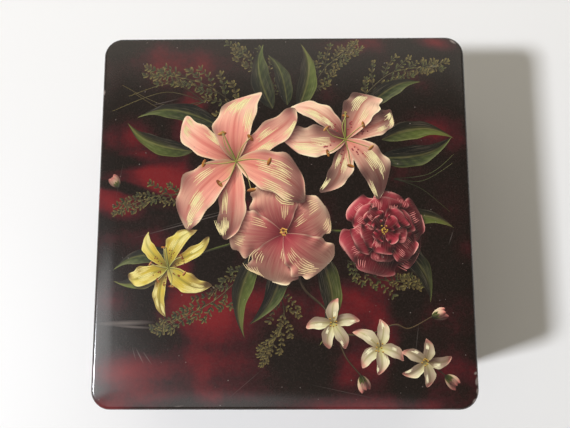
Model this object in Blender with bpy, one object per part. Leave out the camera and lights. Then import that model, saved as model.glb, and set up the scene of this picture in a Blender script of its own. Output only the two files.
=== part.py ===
"""Square papier-mache box for papers and keepsakes, with a lid hinged along the back.

Lengths are in metres and +Z is up. The front faces -Y and the hinges are at the back, at +Y.
The origin is the centre of the underside, where the box stands on the table.
Every object is one physical piece. The lid's pieces hang from an empty on the hinge axis.
"""

import math

import bmesh
import bpy
from mathutils import Matrix, Vector

# Papier-mache shells, measured over the walls
BOX_WIDTH = 0.204
BOX_DEPTH = 0.204
CORNER_RADIUS = 0.0105
WALL = 0.0032
FLOOR_THICKNESS = 0.0034
TOP_THICKNESS = 0.0034
BASE_HEIGHT = 0.046
LID_HEIGHT = 0.024
RIM_GAP = 0.0003

# Edges of the shells: the lid's rolled top edge, its crown, and the eased rims and foot
EDGE_RADIUS = 0.0024
ROLL_WIDTH = 0.009
ROLL_DROP = 0.0004
CROWN_RISE = 0.0006
CEILING_FILLET = 0.0016
FOOT_RADIUS = 0.0016
RIM_RADIUS = 0.0006

# Scallop in the front rim of the base that lets a thumb under the lid
NOTCH_WIDTH = 0.026
NOTCH_DEPTH = 0.0022

# Pasteboard collar glued inside the base, whose upper edge is the lip that locates the lid
COLLAR_THICKNESS = 0.0016
LIP_HEIGHT = 0.006
LIP_CHAMFER = 0.0005

# Satin pads on stiff cards, one on the floor and one in the lid
CARD_THICKNESS = 0.0012
CARD_INSET = 0.0015
PAD_MARGIN = 0.0006
PAD_HEIGHT = 0.0068
PAD_EDGE_HEIGHT = 0.0026
PAD_BULGE = 0.0008
TUFT_DEPTH = 0.003

# Baize glued under the base
BAIZE_THICKNESS = 0.0008
BAIZE_MARGIN = 0.003

# Brass butt hinges: sheet leaves rolled round a pin, each set in from its end of the back wall
HINGE_MARGIN = 0.026
HINGE_WIDTH = 0.024
LEAF_THICKNESS = 0.0007
LEAF_REACH = 0.0108
LEAF_CORNER_RADIUS = 0.0014
LEAF_SEAT = 0.0002
PIN_RADIUS = 0.001
PIN_OVERHANG = 0.0006
PIN_DOME = 0.0003
BORE_CLEARANCE = 0.0001
KNUCKLE_GAP = 0.0002
CURL_SLIT = 0.00025

# Round-headed brass nails that hold each leaf to its wall
NAIL_MARGIN = 0.004
NAIL_SHANK_RADIUS = 0.0006
NAIL_HEAD_RADIUS = 0.0014
NAIL_HEAD_HEIGHT = 0.00055
NAIL_CLEARANCE = 0.0003
NAIL_SEAT = 0.0001

# Gap left between glued faces, how far a cutter runs past what it cuts, and the finest detail
GLUE_GAP = 0.0003
OVERRUN = 0.002
MERGE_DISTANCE = 0.000002

# Counts
KNUCKLES = 5
TUFTS = 5
CELLS_PER_TUFT = 6
CORNER_STEPS = 8
EDGE_STEPS = 5
RIM_STEPS = 3
ROLL_STEPS = 3
CURL_STEPS = 20
TURN_STEPS = 20
HOLE_STEPS = 12
NOTCH_STEPS = 200

# Power of the pad's crown: the higher, the flatter its middle and the steeper its sides
CROWN_POWER = 6

# Places on the lid's crown, as shares of its half width, from near the rolled edge to the middle
CROWN_SHARES = (0.8, 0.55, 0.25)

# Levels of the pieces
BASE_BOTTOM = BAIZE_THICKNESS + GLUE_GAP
BASE_FLOOR = BASE_BOTTOM + FLOOR_THICKNESS
BASE_RIM = BASE_BOTTOM + BASE_HEIGHT
LID_RIM = BASE_RIM + RIM_GAP
LID_CEILING = LID_RIM + LID_HEIGHT - TOP_THICKNESS
FLOOR_CARD_BOTTOM = BASE_FLOOR + GLUE_GAP
LID_CARD_BOTTOM = LID_CEILING - GLUE_GAP - CARD_THICKNESS

# Insets of the linings from the outside of the box
COLLAR_OUTSIDE = WALL + GLUE_GAP
COLLAR_INSIDE = COLLAR_OUTSIDE + COLLAR_THICKNESS
FLOOR_PAD_INSET = COLLAR_INSIDE + PAD_MARGIN
LID_PAD_INSET = WALL + CEILING_FILLET + PAD_MARGIN

# Hinge axis, just behind the back wall and level with the joint of lid and base
BORE_RADIUS = PIN_RADIUS + BORE_CLEARANCE
KNUCKLE_RADIUS = BORE_RADIUS + LEAF_THICKNESS
AXIS_Y = BOX_DEPTH / 2 + LEAF_SEAT + KNUCKLE_RADIUS
AXIS_Z = BASE_RIM + RIM_GAP / 2
NAIL_DROP = LEAF_REACH - NAIL_MARGIN
NAIL_REACH = HINGE_WIDTH / 2 - NAIL_MARGIN

# Finishes: name, linear colour, roughness and metallic value
LACQUER = ("lacquered_papier_mache", (0.045, 0.012, 0.012), 0.28, 0.0)
PASTEBOARD = ("paper_covered_board", (0.33, 0.22, 0.13), 0.75, 0.0)
SATIN = ("quilted_satin", (0.62, 0.42, 0.25), 0.45, 0.0)
BAIZE = ("baize", (0.03, 0.06, 0.035), 0.95, 0.0)
BRASS = ("aged_brass", (0.42, 0.28, 0.10), 0.35, 1.0)

ACROSS_WALL = Matrix.Rotation(math.radians(90), 4, "X")


def material(finish):
    """The Principled material of one finish, made once and shared by its pieces."""
    name, colour, roughness, metallic = finish
    found = bpy.data.materials.get(name)
    if found:
        return found
    made = bpy.data.materials.new(name)
    made.use_nodes = True
    shader = made.node_tree.nodes["Principled BSDF"]
    shader.inputs["Base Color"].default_value = (*colour, 1.0)
    shader.inputs["Roughness"].default_value = roughness
    shader.inputs["Metallic"].default_value = metallic
    made.diffuse_color = (*colour, 1.0)
    return made


def place(name, mesh, finish, location, parent=None):
    """Puts one piece at its place, with its finish and with its round faces smooth."""
    mesh.materials.clear()
    mesh.materials.append(material(finish))
    mesh.shade_smooth()
    mesh.set_sharp_from_angle(angle=math.radians(32))
    piece = bpy.data.objects.new(name, mesh)
    bpy.context.scene.collection.objects.link(piece)
    piece.location = location
    if parent:
        piece.parent = parent
        piece.matrix_parent_inverse = parent.matrix_world.inverted()
    return piece


def closed_mesh(bm, name):
    """The mesh of a closed form, with its faces pointing out."""
    bmesh.ops.recalc_face_normals(bm, faces=bm.faces)
    if bm.calc_volume(signed=True) < 0:
        bmesh.ops.reverse_faces(bm, faces=bm.faces)
    mesh = bpy.data.meshes.new(name)
    bm.to_mesh(mesh)
    bm.free()
    return mesh


def cut(piece, bm, name, location):
    """Cuts a form, put at its place as a hidden helper, out of a piece."""
    helper = bpy.data.objects.new(name, closed_mesh(bm, name))
    bpy.context.scene.collection.objects.link(helper)
    helper.location = location
    helper.hide_render = True
    helper.display_type = "WIRE"
    modifier = piece.modifiers.new(name, "BOOLEAN")
    modifier.operation = "DIFFERENCE"
    modifier.object = helper


def add_rod(bm, middle, radius, length, steps):
    """Adds a round rod that lies along Y, across the front and back walls."""
    bmesh.ops.create_cone(
        bm,
        cap_ends=True,
        segments=steps,
        radius1=radius,
        radius2=radius,
        depth=length,
        matrix=Matrix.Translation(middle) @ ACROSS_WALL,
    )


def rounded_square(inset, z, share=1.0):
    """Points round the box's plan, drawn in by inset and then scaled to a share about the middle."""
    half_x = BOX_WIDTH / 2 - inset
    half_y = BOX_DEPTH / 2 - inset
    radius = max(CORNER_RADIUS - inset, RIM_RADIUS)
    points = []
    for quarter, (side_x, side_y) in enumerate(((1, 1), (-1, 1), (-1, -1), (1, -1))):
        for step in range(CORNER_STEPS + 1):
            angle = math.radians(90) * (quarter + step / CORNER_STEPS)
            x = side_x * (half_x - radius) + radius * math.cos(angle)
            y = side_y * (half_y - radius) + radius * math.sin(angle)
            points.append(Vector((x * share, y * share, z)))
    return points


def loft(name, sections, ring=False):
    """A closed form through sections of equal count, capped at both ends or joined into a ring."""
    bm = bmesh.new()
    rows = [[bm.verts.new(point) for point in section] for section in sections]
    for row, following in zip(rows, rows[1:] + rows[:1] if ring else rows[1:]):
        for step in range(len(row)):
            bm.faces.new((row[step - 1], row[step], following[step], following[step - 1]))
    if not ring:
        bm.faces.new(rows[0])
        bm.faces.new(rows[-1])
    return closed_mesh(bm, name)


def arc(inset, z, radius, start, end, steps):
    """(inset, z) points on an arc round a centre, from start to end in degrees, 0 facing inwards."""
    points = []
    for step in range(steps + 1):
        angle = math.radians(start + (end - start) * step / steps)
        points.append((inset + radius * math.cos(angle), z + radius * math.sin(angle)))
    return points


def rim_path(z, down):
    """The eased rim of a wall that ends at z, from its outside to its inside."""
    turn = -1 if down else 1
    centre_z = z - turn * RIM_RADIUS
    outer = arc(RIM_RADIUS, centre_z, RIM_RADIUS, 180, 180 - 90 * turn, RIM_STEPS)
    inner = arc(WALL - RIM_RADIUS, centre_z, RIM_RADIUS, 90 * turn, 0, RIM_STEPS)
    return outer + inner


def base_shell_mesh():
    """The tub, from its underside up the outside, over the rim and down the inside to its floor."""
    path = arc(FOOT_RADIUS, FOOT_RADIUS, FOOT_RADIUS, 270, 180, EDGE_STEPS)
    path += rim_path(BASE_HEIGHT, down=False)
    path.append((WALL, FLOOR_THICKNESS))
    return loft("base_shell", [rounded_square(inset, z) for inset, z in path])


def lid_shell_mesh():
    """The lid, from the middle of its crown over the rolled edge, round the rim and up to its ceiling."""
    slope = 2 * ROLL_DROP / ROLL_WIDTH
    top = LID_HEIGHT - ROLL_DROP - EDGE_RADIUS
    edge = arc(EDGE_RADIUS, top, EDGE_RADIUS, 90 + math.degrees(math.atan(slope)), 180, EDGE_STEPS)
    edge_inset, edge_z = edge[0]
    roll = []
    for step in range(ROLL_STEPS, 0, -1):
        run = ROLL_WIDTH * step / ROLL_STEPS
        roll.append((edge_inset + run, edge_z + slope * run * (1 - run / (2 * ROLL_WIDTH))))
    crown_inset, crown_z = roll[0]
    ceiling = LID_HEIGHT - TOP_THICKNESS - CEILING_FILLET
    path = roll + edge + rim_path(0, down=True)
    path += arc(WALL + CEILING_FILLET, ceiling, CEILING_FILLET, 180, 90, RIM_STEPS)
    sections = []
    for share in reversed(CROWN_SHARES):
        sections.append(rounded_square(crown_inset, crown_z + CROWN_RISE * (1 - share**2), share))
    sections += [rounded_square(inset, z) for inset, z in path]
    return loft("lid_shell", sections)


def make_shells(pivot):
    """The base and the lid, with the holes for the nails and the notch for a thumb."""
    base = place("base_shell", base_shell_mesh(), LACQUER, (0, 0, BASE_BOTTOM))
    lid = place("lid_shell", lid_shell_mesh(), LACQUER, (0, 0, LID_RIM), pivot)
    cut_nail_holes(base, -NAIL_DROP)
    cut_nail_holes(lid, NAIL_DROP)
    cut_notch(base)


def cut_notch(base):
    """Scoops the front rim with the lowest part of a disc that stands across the wall."""
    radius = (NOTCH_WIDTH**2 / 4 + NOTCH_DEPTH**2) / (2 * NOTCH_DEPTH)
    disc = bmesh.new()
    add_rod(disc, Vector(), radius, WALL + 2 * OVERRUN, NOTCH_STEPS)
    middle = (0, WALL / 2 - BOX_DEPTH / 2, BASE_RIM - NOTCH_DEPTH + radius)
    cut(base, disc, "thumb_notch_cutter", middle)


def hinge_middles():
    """Each hinge's side and the X of its middle."""
    middle = BOX_WIDTH / 2 - HINGE_MARGIN - HINGE_WIDTH / 2
    return (("left", -middle), ("right", middle))


def cut_nail_holes(shell, rise):
    """Drills a shell's back wall for its row of nails, at a height over the hinge axis."""
    drills = bmesh.new()
    for _, middle in hinge_middles():
        for reach in (-NAIL_REACH, NAIL_REACH):
            spot = Vector((middle + reach, 0, rise))
            add_rod(drills, spot, NAIL_SHANK_RADIUS + NAIL_CLEARANCE, WALL + 2 * OVERRUN, HOLE_STEPS)
    cut(shell, drills, shell.name + "_nail_drills", (0, BOX_DEPTH / 2 - WALL / 2, AXIS_Z))


def make_collar():
    """A pasteboard band that stands on the floor of the base and rises past its rim."""
    height = BASE_RIM + LIP_HEIGHT - BASE_FLOOR - GLUE_GAP
    path = (
        (COLLAR_OUTSIDE, 0),
        (COLLAR_OUTSIDE, height - LIP_CHAMFER),
        (COLLAR_OUTSIDE + LIP_CHAMFER, height),
        (COLLAR_INSIDE - LIP_CHAMFER, height),
        (COLLAR_INSIDE, height - LIP_CHAMFER),
        (COLLAR_INSIDE, 0),
    )
    sections = [rounded_square(inset, z) for inset, z in path]
    collar = loft("inner_collar", sections, ring=True)
    place("inner_collar", collar, PASTEBOARD, (0, 0, BASE_FLOOR + GLUE_GAP))


def make_sheet(name, inset, bottom, thickness, finish, parent=None):
    """A flat sheet with rounded corners, such as a card or the baize."""
    sheet = loft(name, [rounded_square(inset, 0), rounded_square(inset, thickness)])
    place(name, sheet, finish, (0, 0, bottom), parent)


def quilting(across, along):
    """Swell of a tufted pad, 0 along its diagonal folds and 1 between them.

    Both arguments count tufts from the middle of the pad.
    """
    rising = math.cos(math.pi * (across + along))
    falling = math.cos(math.pi * (across - along))
    return math.sqrt(abs(rising * falling))


def pad_point(share_x, share_y, inset):
    """A point of a pad's top, from its shares of the half width and depth, -1 to 1."""
    half_x = BOX_WIDTH / 2 - inset - PAD_BULGE
    half_y = BOX_DEPTH / 2 - inset - PAD_BULGE
    radius = max(CORNER_RADIUS - inset, RIM_RADIUS)
    x, y = share_x * half_x, share_y * half_y
    over_x = max(abs(x) - (half_x - radius), 0)
    over_y = max(abs(y) - (half_y - radius), 0)
    if over_x and over_y:
        pull = max(over_x, over_y) / math.hypot(over_x, over_y)
        x = math.copysign(half_x - radius + over_x * pull, x)
        y = math.copysign(half_y - radius + over_y * pull, y)
    crown = 1 - max(abs(share_x), abs(share_y)) ** CROWN_POWER
    quilted = TUFT_DEPTH * quilting(share_x * TUFTS / 2, share_y * TUFTS / 2)
    swell = PAD_HEIGHT - PAD_EDGE_HEIGHT - TUFT_DEPTH + quilted
    return Vector((x, y, PAD_EDGE_HEIGHT + swell * crown))


def crease(bm):
    """Splits each four-sided face along its lower diagonal, so that the folds between tufts are sharp."""
    for face in [face for face in bm.faces if len(face.verts) == 4]:
        first, second = face.verts[:2], face.verts[2:]
        pairs = list(zip(first, second))
        lower = min(pairs, key=lambda pair: pair[0].co.z + pair[1].co.z)
        bmesh.ops.connect_verts(bm, verts=lower)


def draw_border(bm, border, out, height):
    """Draws the pad's border down to a height, moved out from its middle, and returns the new border."""
    made = bmesh.ops.extrude_edge_only(bm, edges=border)["geom"]
    for vert in (item for item in made if isinstance(item, bmesh.types.BMVert)):
        vert.co += Vector((vert.co.x, vert.co.y, 0)).normalized() * out
        vert.co.z = height
    return [item for item in made if isinstance(item, bmesh.types.BMEdge)]


def make_pad(name, inset, seat, turn, parent=None):
    """A tufted satin pad on its seat level: a crowned, creased top with drawn-in sides and a flat back."""
    bm = bmesh.new()
    cells = TUFTS * CELLS_PER_TUFT
    bmesh.ops.create_grid(bm, x_segments=cells, y_segments=cells, size=1.0)
    for vert in bm.verts:
        vert.co = pad_point(vert.co.x, vert.co.y, inset)
    crease(bm)
    border = [edge for edge in bm.edges if edge.is_boundary]
    border = draw_border(bm, border, PAD_BULGE, PAD_EDGE_HEIGHT / 2)
    border = draw_border(bm, border, -PAD_BULGE, 0)
    bmesh.ops.contextual_create(bm, geom=border)
    pad = place(name, closed_mesh(bm, name), SATIN, (0, 0, seat), parent)
    pad.rotation_euler.x = turn


def make_linings(pivot):
    """The cards and their pads, on the floor inside the collar and against the lid's ceiling."""
    card = CARD_THICKNESS
    make_sheet("floor_pad_card", FLOOR_PAD_INSET + CARD_INSET, FLOOR_CARD_BOTTOM, card, PASTEBOARD)
    make_sheet("lid_pad_card", LID_PAD_INSET + CARD_INSET, LID_CARD_BOTTOM, card, PASTEBOARD, pivot)
    make_pad("floor_pad", FLOOR_PAD_INSET, FLOOR_CARD_BOTTOM + card + GLUE_GAP, 0)
    make_pad("lid_pad", LID_PAD_INSET, LID_CARD_BOTTOM - GLUE_GAP, math.radians(180), pivot)


def leaf_outline(side_z):
    """A leaf's section from its free edge to the end of its curl, as (y, z) from the hinge axis."""
    end = math.degrees(math.acos((BORE_RADIUS - CURL_SLIT) / KNUCKLE_RADIUS))
    turn = math.radians(360 - end)
    outline = [(-BORE_RADIUS, LEAF_REACH), (-KNUCKLE_RADIUS, LEAF_REACH)]
    for radius, steps in ((KNUCKLE_RADIUS, range(CURL_STEPS + 1)), (BORE_RADIUS, range(CURL_STEPS, -1, -1))):
        for step in steps:
            angle = math.radians(180) + turn * step / CURL_STEPS
            outline.append((radius * math.cos(angle), radius * math.sin(angle)))
    return [(y, side_z * z) for y, z in outline]


def leaf_mesh(name, side_z):
    """A full-width leaf: its section drawn along the hinge, with the free corners rounded."""
    bm = bmesh.new()
    section = bm.faces.new([bm.verts.new((-HINGE_WIDTH / 2, y, z)) for y, z in leaf_outline(side_z)])
    made = bmesh.ops.extrude_face_region(bm, geom=[section])["geom"]
    far_end = [item for item in made if isinstance(item, bmesh.types.BMVert)]
    bmesh.ops.translate(bm, verts=far_end, vec=(HINGE_WIDTH, 0, 0))
    free_end = {vert for vert in bm.verts if LEAF_REACH - abs(vert.co.z) < MERGE_DISTANCE}
    corners = [edge for edge in bm.edges if free_end.issuperset(edge.verts)]
    corners = [edge for edge in corners if edge.calc_length() < LEAF_THICKNESS + MERGE_DISTANCE]
    bmesh.ops.bevel(
        bm,
        geom=corners,
        offset=LEAF_CORNER_RADIUS,
        segments=RIM_STEPS,
        profile=0.5,
        affect="EDGES",
    )
    return closed_mesh(bm, name)


def cut_leaf(leaf, side_z, first_cut):
    """Cuts the other leaf's knuckles and the nail holes out of a full-width leaf."""
    bm = bmesh.new()
    knuckle = HINGE_WIDTH / KNUCKLES
    clear = 2 * (KNUCKLE_RADIUS + KNUCKLE_GAP)
    for number in range(first_cut, KNUCKLES, 2):
        low = number * knuckle - HINGE_WIDTH / 2 - (KNUCKLE_GAP / 2 if number else OVERRUN)
        high = (number + 1) * knuckle - HINGE_WIDTH / 2
        high += KNUCKLE_GAP / 2 if number < KNUCKLES - 1 else OVERRUN
        size = Matrix.Diagonal((high - low, clear + OVERRUN, clear, 1))
        bmesh.ops.create_cube(bm, size=1.0, matrix=Matrix.Translation(((low + high) / 2, 0, 0)) @ size)
    for reach in (-NAIL_REACH, NAIL_REACH):
        middle = Vector((reach, -(KNUCKLE_RADIUS + BORE_RADIUS) / 2, side_z * NAIL_DROP))
        add_rod(bm, middle, NAIL_SHANK_RADIUS + NAIL_CLEARANCE, 2 * LEAF_THICKNESS, HOLE_STEPS)
    cut(leaf, bm, leaf.name + "_cutter", leaf.location)


def turned_mesh(name, profile, axis):
    """A form turned round an axis, from (along, radius) points that start and end on it."""
    bm = bmesh.new()
    verts = [bm.verts.new((along, radius, 0)) for along, radius in profile]
    edges = [bm.edges.new(pair) for pair in zip(verts, verts[1:])]
    bmesh.ops.spin(
        bm,
        geom=verts + edges,
        cent=(0, 0, 0),
        axis=(1, 0, 0),
        angle=math.radians(360),
        steps=TURN_STEPS,
        use_merge=True,
    )
    bmesh.ops.remove_doubles(bm, verts=bm.verts, dist=MERGE_DISTANCE)
    bm.transform(Vector((1, 0, 0)).rotation_difference(Vector(axis)).to_matrix().to_4x4())
    return closed_mesh(bm, name)


def dome(start, height, radius, steps):
    """(along, radius) points of a round head, from its rim to its top on the axis."""
    points = []
    for step in range(steps):
        angle = math.radians(90) * step / steps
        points.append((start + height * math.sin(angle), radius * math.cos(angle)))
    return points + [(start + height, 0)]


def pin_mesh():
    """The hinge pin, a wire with both ends lightly domed."""
    half = HINGE_WIDTH / 2 + PIN_OVERHANG
    right = dome(half - PIN_DOME, PIN_DOME, PIN_RADIUS, RIM_STEPS)
    left = [(-along, radius) for along, radius in reversed(right)]
    return turned_mesh("hinge_pin", left + right, (1, 0, 0))


def nail_mesh():
    """A round-headed nail that points into the wall, with the outside of its leaf at the origin."""
    tip = GLUE_GAP - LEAF_THICKNESS - LEAF_SEAT - WALL
    profile = [(tip, 0), (tip, NAIL_SHANK_RADIUS), (NAIL_SEAT, NAIL_SHANK_RADIUS)]
    profile += dome(NAIL_SEAT, NAIL_HEAD_HEIGHT, NAIL_HEAD_RADIUS, RIM_STEPS + 1)
    return turned_mesh("hinge_nail", profile, (0, 1, 0))


def make_hinges(pivot):
    """Two hinges. The base leaf has the middle and end knuckles, and the lid leaf the two between."""
    pin = pin_mesh()
    nail = nail_mesh()
    nail_y = BOX_DEPTH / 2 + LEAF_SEAT + LEAF_THICKNESS
    for side, middle in hinge_middles():
        axis = Vector((middle, AXIS_Y, AXIS_Z))
        place(f"hinge_{side}_pin", pin, BRASS, axis)
        for half, side_z, first_cut, parent in (("base", -1, 1, None), ("lid", 1, 0, pivot)):
            name = f"hinge_{side}_{half}"
            leaf = place(name + "_leaf", leaf_mesh(name + "_leaf", side_z), BRASS, axis, parent)
            cut_leaf(leaf, side_z, first_cut)
            for end, reach in (("a", -NAIL_REACH), ("b", NAIL_REACH)):
                spot = Vector((middle + reach, nail_y, AXIS_Z + side_z * NAIL_DROP))
                place(f"{name}_nail_{end}", nail, BRASS, spot, parent)


def main():
    for old in list(bpy.data.objects):
        bpy.data.objects.remove(old)
    pivot = bpy.data.objects.new("lid_pivot", None)
    bpy.context.scene.collection.objects.link(pivot)
    pivot.location = (0, AXIS_Y, AXIS_Z)
    bpy.context.view_layer.update()
    make_shells(pivot)
    make_collar()
    make_linings(pivot)
    make_sheet("underside_baize", BAIZE_MARGIN, 0, BAIZE_THICKNESS, BAIZE)
    make_hinges(pivot)


main()
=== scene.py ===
"""Looks of a papier-mache box: mottled lacquer, a painted spray and a quilted satin lining."""

import math
import random

import bmesh
import bpy
import numpy as np
from mathutils import Euler, Matrix, Vector


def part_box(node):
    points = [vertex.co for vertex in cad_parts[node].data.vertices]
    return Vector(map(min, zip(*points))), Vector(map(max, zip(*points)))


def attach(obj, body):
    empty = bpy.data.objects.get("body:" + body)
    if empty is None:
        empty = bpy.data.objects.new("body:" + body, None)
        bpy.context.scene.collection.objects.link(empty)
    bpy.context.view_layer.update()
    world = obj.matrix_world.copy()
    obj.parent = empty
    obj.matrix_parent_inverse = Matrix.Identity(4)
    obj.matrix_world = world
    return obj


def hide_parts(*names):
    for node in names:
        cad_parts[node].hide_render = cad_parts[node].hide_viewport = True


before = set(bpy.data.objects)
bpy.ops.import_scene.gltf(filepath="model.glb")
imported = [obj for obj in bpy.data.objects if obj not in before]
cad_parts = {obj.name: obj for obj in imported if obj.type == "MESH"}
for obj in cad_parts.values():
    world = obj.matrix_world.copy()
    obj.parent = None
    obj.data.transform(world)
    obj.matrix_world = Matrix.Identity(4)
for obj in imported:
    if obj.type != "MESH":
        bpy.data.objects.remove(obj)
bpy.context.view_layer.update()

MM = 0.001

# Places that the parts in model.glb give: the shells' walls, rims and levels
BASE_LOW, BASE_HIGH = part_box("base_shell")
LID_LOW, LID_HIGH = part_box("lid_shell")
HALF_WIDTH = LID_HIGH.x
HALF_DEPTH = -LID_LOW.y
LID_TOP = LID_HIGH.z
LID_RIM = LID_LOW.z
BASE_RIM = BASE_HIGH.z
BASE_BOTTOM = BASE_LOW.z

# Shapes of the shells, as the box was moulded
CORNER_RADIUS = 10.5 * MM
WALL = 3.2 * MM
TOP_THICKNESS = 3.4 * MM
FLOOR_THICKNESS = 3.4 * MM
EDGE_RADIUS = 2.4 * MM
ROLL_WIDTH = 9 * MM
ROLL_DROP = 0.4 * MM
CROWN_RISE = 0.6 * MM
# Where the lid's rounded edge meets its straight sides
EDGE_FOOT = LID_TOP - CROWN_RISE - ROLL_DROP - EDGE_RADIUS
CEILING_FILLET = 1.6 * MM
FOOT_RADIUS = 1.6 * MM
RIM_RADIUS = 0.6 * MM
NOTCH_WIDTH = 26 * MM
NOTCH_DEPTH = 2.2 * MM
# How far the ground stays under the lid's full height, which the paint reaches
PAINT_HEADROOM = 0.25 * MM

# How finely the shells are divided, and how near counts as the same place
SHELL_CELLS = 18
CORNER_STEPS = 14
EDGE_STEPS = 8
ROLL_STEPS = 5
ROLL_INSET = 1.5 * MM
FILLET_STEPS = 4
FOOT_STEPS = 6
RIM_STEPS = 3
NOTCH_STEPS = 512
SMOOTH_ANGLE = 35
SLACK = 0.01 * MM
LOOP_SLACK = 0.1 * MM
MERGE_DISTANCE = 0.001 * MM

# A Mix node's sockets have the same names for colours as for numbers, so colours go by number
MIX_SOCKETS = {"share": 0, "under": 6, "over": 7}
MIXED = 2


# Small helpers


def paint(code):
    """sRGB channels of a hex colour, which paint is mixed in."""
    return np.array([int(code[place : place + 2], 16) / 255 for place in (1, 3, 5)])


def to_linear(channels):
    """Linear channels of sRGB ones."""
    return np.where(channels <= 0.04045, channels / 12.92, ((channels + 0.055) / 1.055) ** 2.4)


def linear(code):
    """Linear RGBA of an sRGB hex colour."""
    return (*to_linear(paint(code)).tolist(), 1.0)


def outlet(source):
    """The first output of a node, and anything else as it is."""
    return source.outputs[0] if isinstance(source, bpy.types.Node) else source


def socket_name(word):
    return word.replace("_", " ").title().replace("Ior", "IOR")


def feed(tree, node, sockets):
    """Gives each of these sockets of a node its value, or a link from a node or an output."""
    for name, value in sockets.items():
        source = outlet(value)
        if isinstance(source, bpy.types.NodeSocket):
            tree.links.new(source, node.inputs[name])
        else:
            node.inputs[name].default_value = value


def add(tree, kind, *numbered, **named):
    """Adds a node with its settings and links.

    Unnamed values go to its first sockets in order, and named ones to a socket or a setting.
    """
    node = tree.nodes.new("ShaderNode" + kind)
    sockets = dict(enumerate(numbered))
    for word, value in named.items():
        if word in MIX_SOCKETS:
            sockets[MIX_SOCKETS[word]] = value
        elif socket_name(word) in node.inputs:
            sockets[socket_name(word)] = value
        elif word == "stops":
            elements = node.color_ramp.elements
            elements.remove(elements[1])
            elements[0].position, elements[0].color = value[0][0], linear(value[0][1])
            for place, code in value[1:]:
                elements.new(place).color = linear(code)
        else:
            setattr(node, word, value)
    feed(tree, node, sockets)
    return node


def set_shader(material, **sockets):
    """Gives the shader of a material these values and links, and returns the material."""
    tree = material.node_tree
    named = {socket_name(word): value for word, value in sockets.items()}
    feed(tree, tree.nodes["Principled BSDF"], named)
    return material


def new_material(name, **settings):
    """A material whose shader has these settings, its tree, and its object coordinates."""
    made = bpy.data.materials.new(name)
    made.use_nodes = True
    set_shader(made, **settings)
    return made, made.node_tree, add(made.node_tree, "TexCoord").outputs["Object"]


def dress(piece, material):
    piece.data.materials.clear()
    piece.data.materials.append(material)


def mark(piece, name, values):
    """Gives each point of a piece a value that its material reads."""
    attribute = piece.data.attributes.new(name, "FLOAT", "POINT")
    attribute.data.foreach_set("value", values.astype(np.float32))


def deselect():
    if bpy.context.mode != "OBJECT":
        bpy.ops.object.mode_set(mode="OBJECT")
    bpy.ops.object.select_all(action="DESELECT")


def choose(*pieces):
    """Selects these pieces alone, the first of them active."""
    deselect()
    for piece in pieces:
        piece.select_set(True)
    bpy.context.view_layer.objects.active = pieces[0]


def join(pieces, name):
    """Joins pieces into one of this name."""
    choose(*pieces)
    bpy.ops.object.join()
    joined = bpy.context.object
    joined.name = name
    return joined


def edit(piece):
    choose(piece)
    bpy.ops.object.mode_set(mode="EDIT")
    bpy.ops.mesh.select_all(action="SELECT")


def pick(kind, test):
    """Selects the edges or faces of the piece in edit mode that pass the test."""
    bpy.ops.mesh.select_mode(type=kind)
    mesh = bpy.context.object.data
    bm = bmesh.from_edit_mesh(mesh)
    for element in bm.edges if kind == "EDGE" else bm.faces:
        element.select_set(bool(test(element)))
    bm.select_flush_mode()
    bmesh.update_edit_mesh(mesh)


def lengthen(step):
    """Extrudes what is selected straight up, or down where the step is negative."""
    bpy.ops.mesh.extrude_region_move(TRANSFORM_OT_translate={"value": (0, 0, step)})


def face_outwards():
    bpy.ops.mesh.select_all(action="SELECT")
    bpy.ops.mesh.normals_make_consistent(inside=False)


def near(value, other, slack=SLACK):
    return abs(value - other) < slack


def smooth(piece, angle):
    """Shades a piece smooth, but for edges sharper than the angle in degrees."""
    choose(piece)
    bpy.ops.object.shade_smooth_by_angle(angle=math.radians(angle))


def finish_with(piece, kind, **settings):
    """Adds a modifier with these settings and applies it."""
    choose(piece)
    modifier = piece.modifiers.new(kind.title(), kind)
    for name, value in settings.items():
        setattr(modifier, name, value)
    bpy.ops.object.modifier_apply(modifier=modifier.name)


# Camera: the lid's outline in the photograph gives its height over the lid and its tilt
CAMERA_RISE = 251.4 * MM
CAMERA_X = 2.65 * MM
CAMERA_Y = -26.16 * MM
CAMERA_TURN = (6.218, 0.478, -0.141)
CAMERA_LENS = 29.12

scene = bpy.context.scene
scene.view_settings.view_transform = "Standard"
camera = bpy.data.objects.new("camera", bpy.data.cameras.new("camera"))
scene.collection.objects.link(camera)
camera.location = (CAMERA_X, CAMERA_Y, EDGE_FOOT + CAMERA_RISE)
camera.rotation_euler = [math.radians(angle) for angle in CAMERA_TURN]
camera.data.lens = CAMERA_LENS
camera.data.clip_start = 10 * MM
scene.camera = camera

# Light: a tall window to the lower left, and the pale walls of the room. Lengths are in metres
TABLE_SIZE = 12
TABLE_FADE = (0.35, 2.2)
ROOM_LIGHT = 0.175
ROOM_COLOUR = linear("#FFF6E4")
HORIZON = 0.78
HORIZON_COLOUR = linear("#FFFCF6")
# Height on the unit sphere at which the walls have faded into a dim ceiling
WALLS_END = 0.45
# Panels of light: spot, size, power, colour, and whether it is sheen that only the varnish mirrors
LAMPS = {
    "window": ((-3.96, -1.28, 3.53), (0.57, 0.57), 350, "#F5F8FF", False),
    "left_wall": ((-0.77, -0.28, 1.0), (0.44, 0.6), 2.9, "#FFFFFF", True),
    "near_left_wall": ((-0.29, -0.55, 1.0), (0.5, 0.42), 0.48, "#FFFFFF", True),
    "near_wall": ((-0.08, -0.66, 1.0), (0.9, 0.4), 0.85, "#FFFFFF", True),
    "far_wall": ((0.0, 0.76, 0.74), (1.8, 0.8), 4.2, "#FFF9EC", False),
}


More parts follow.
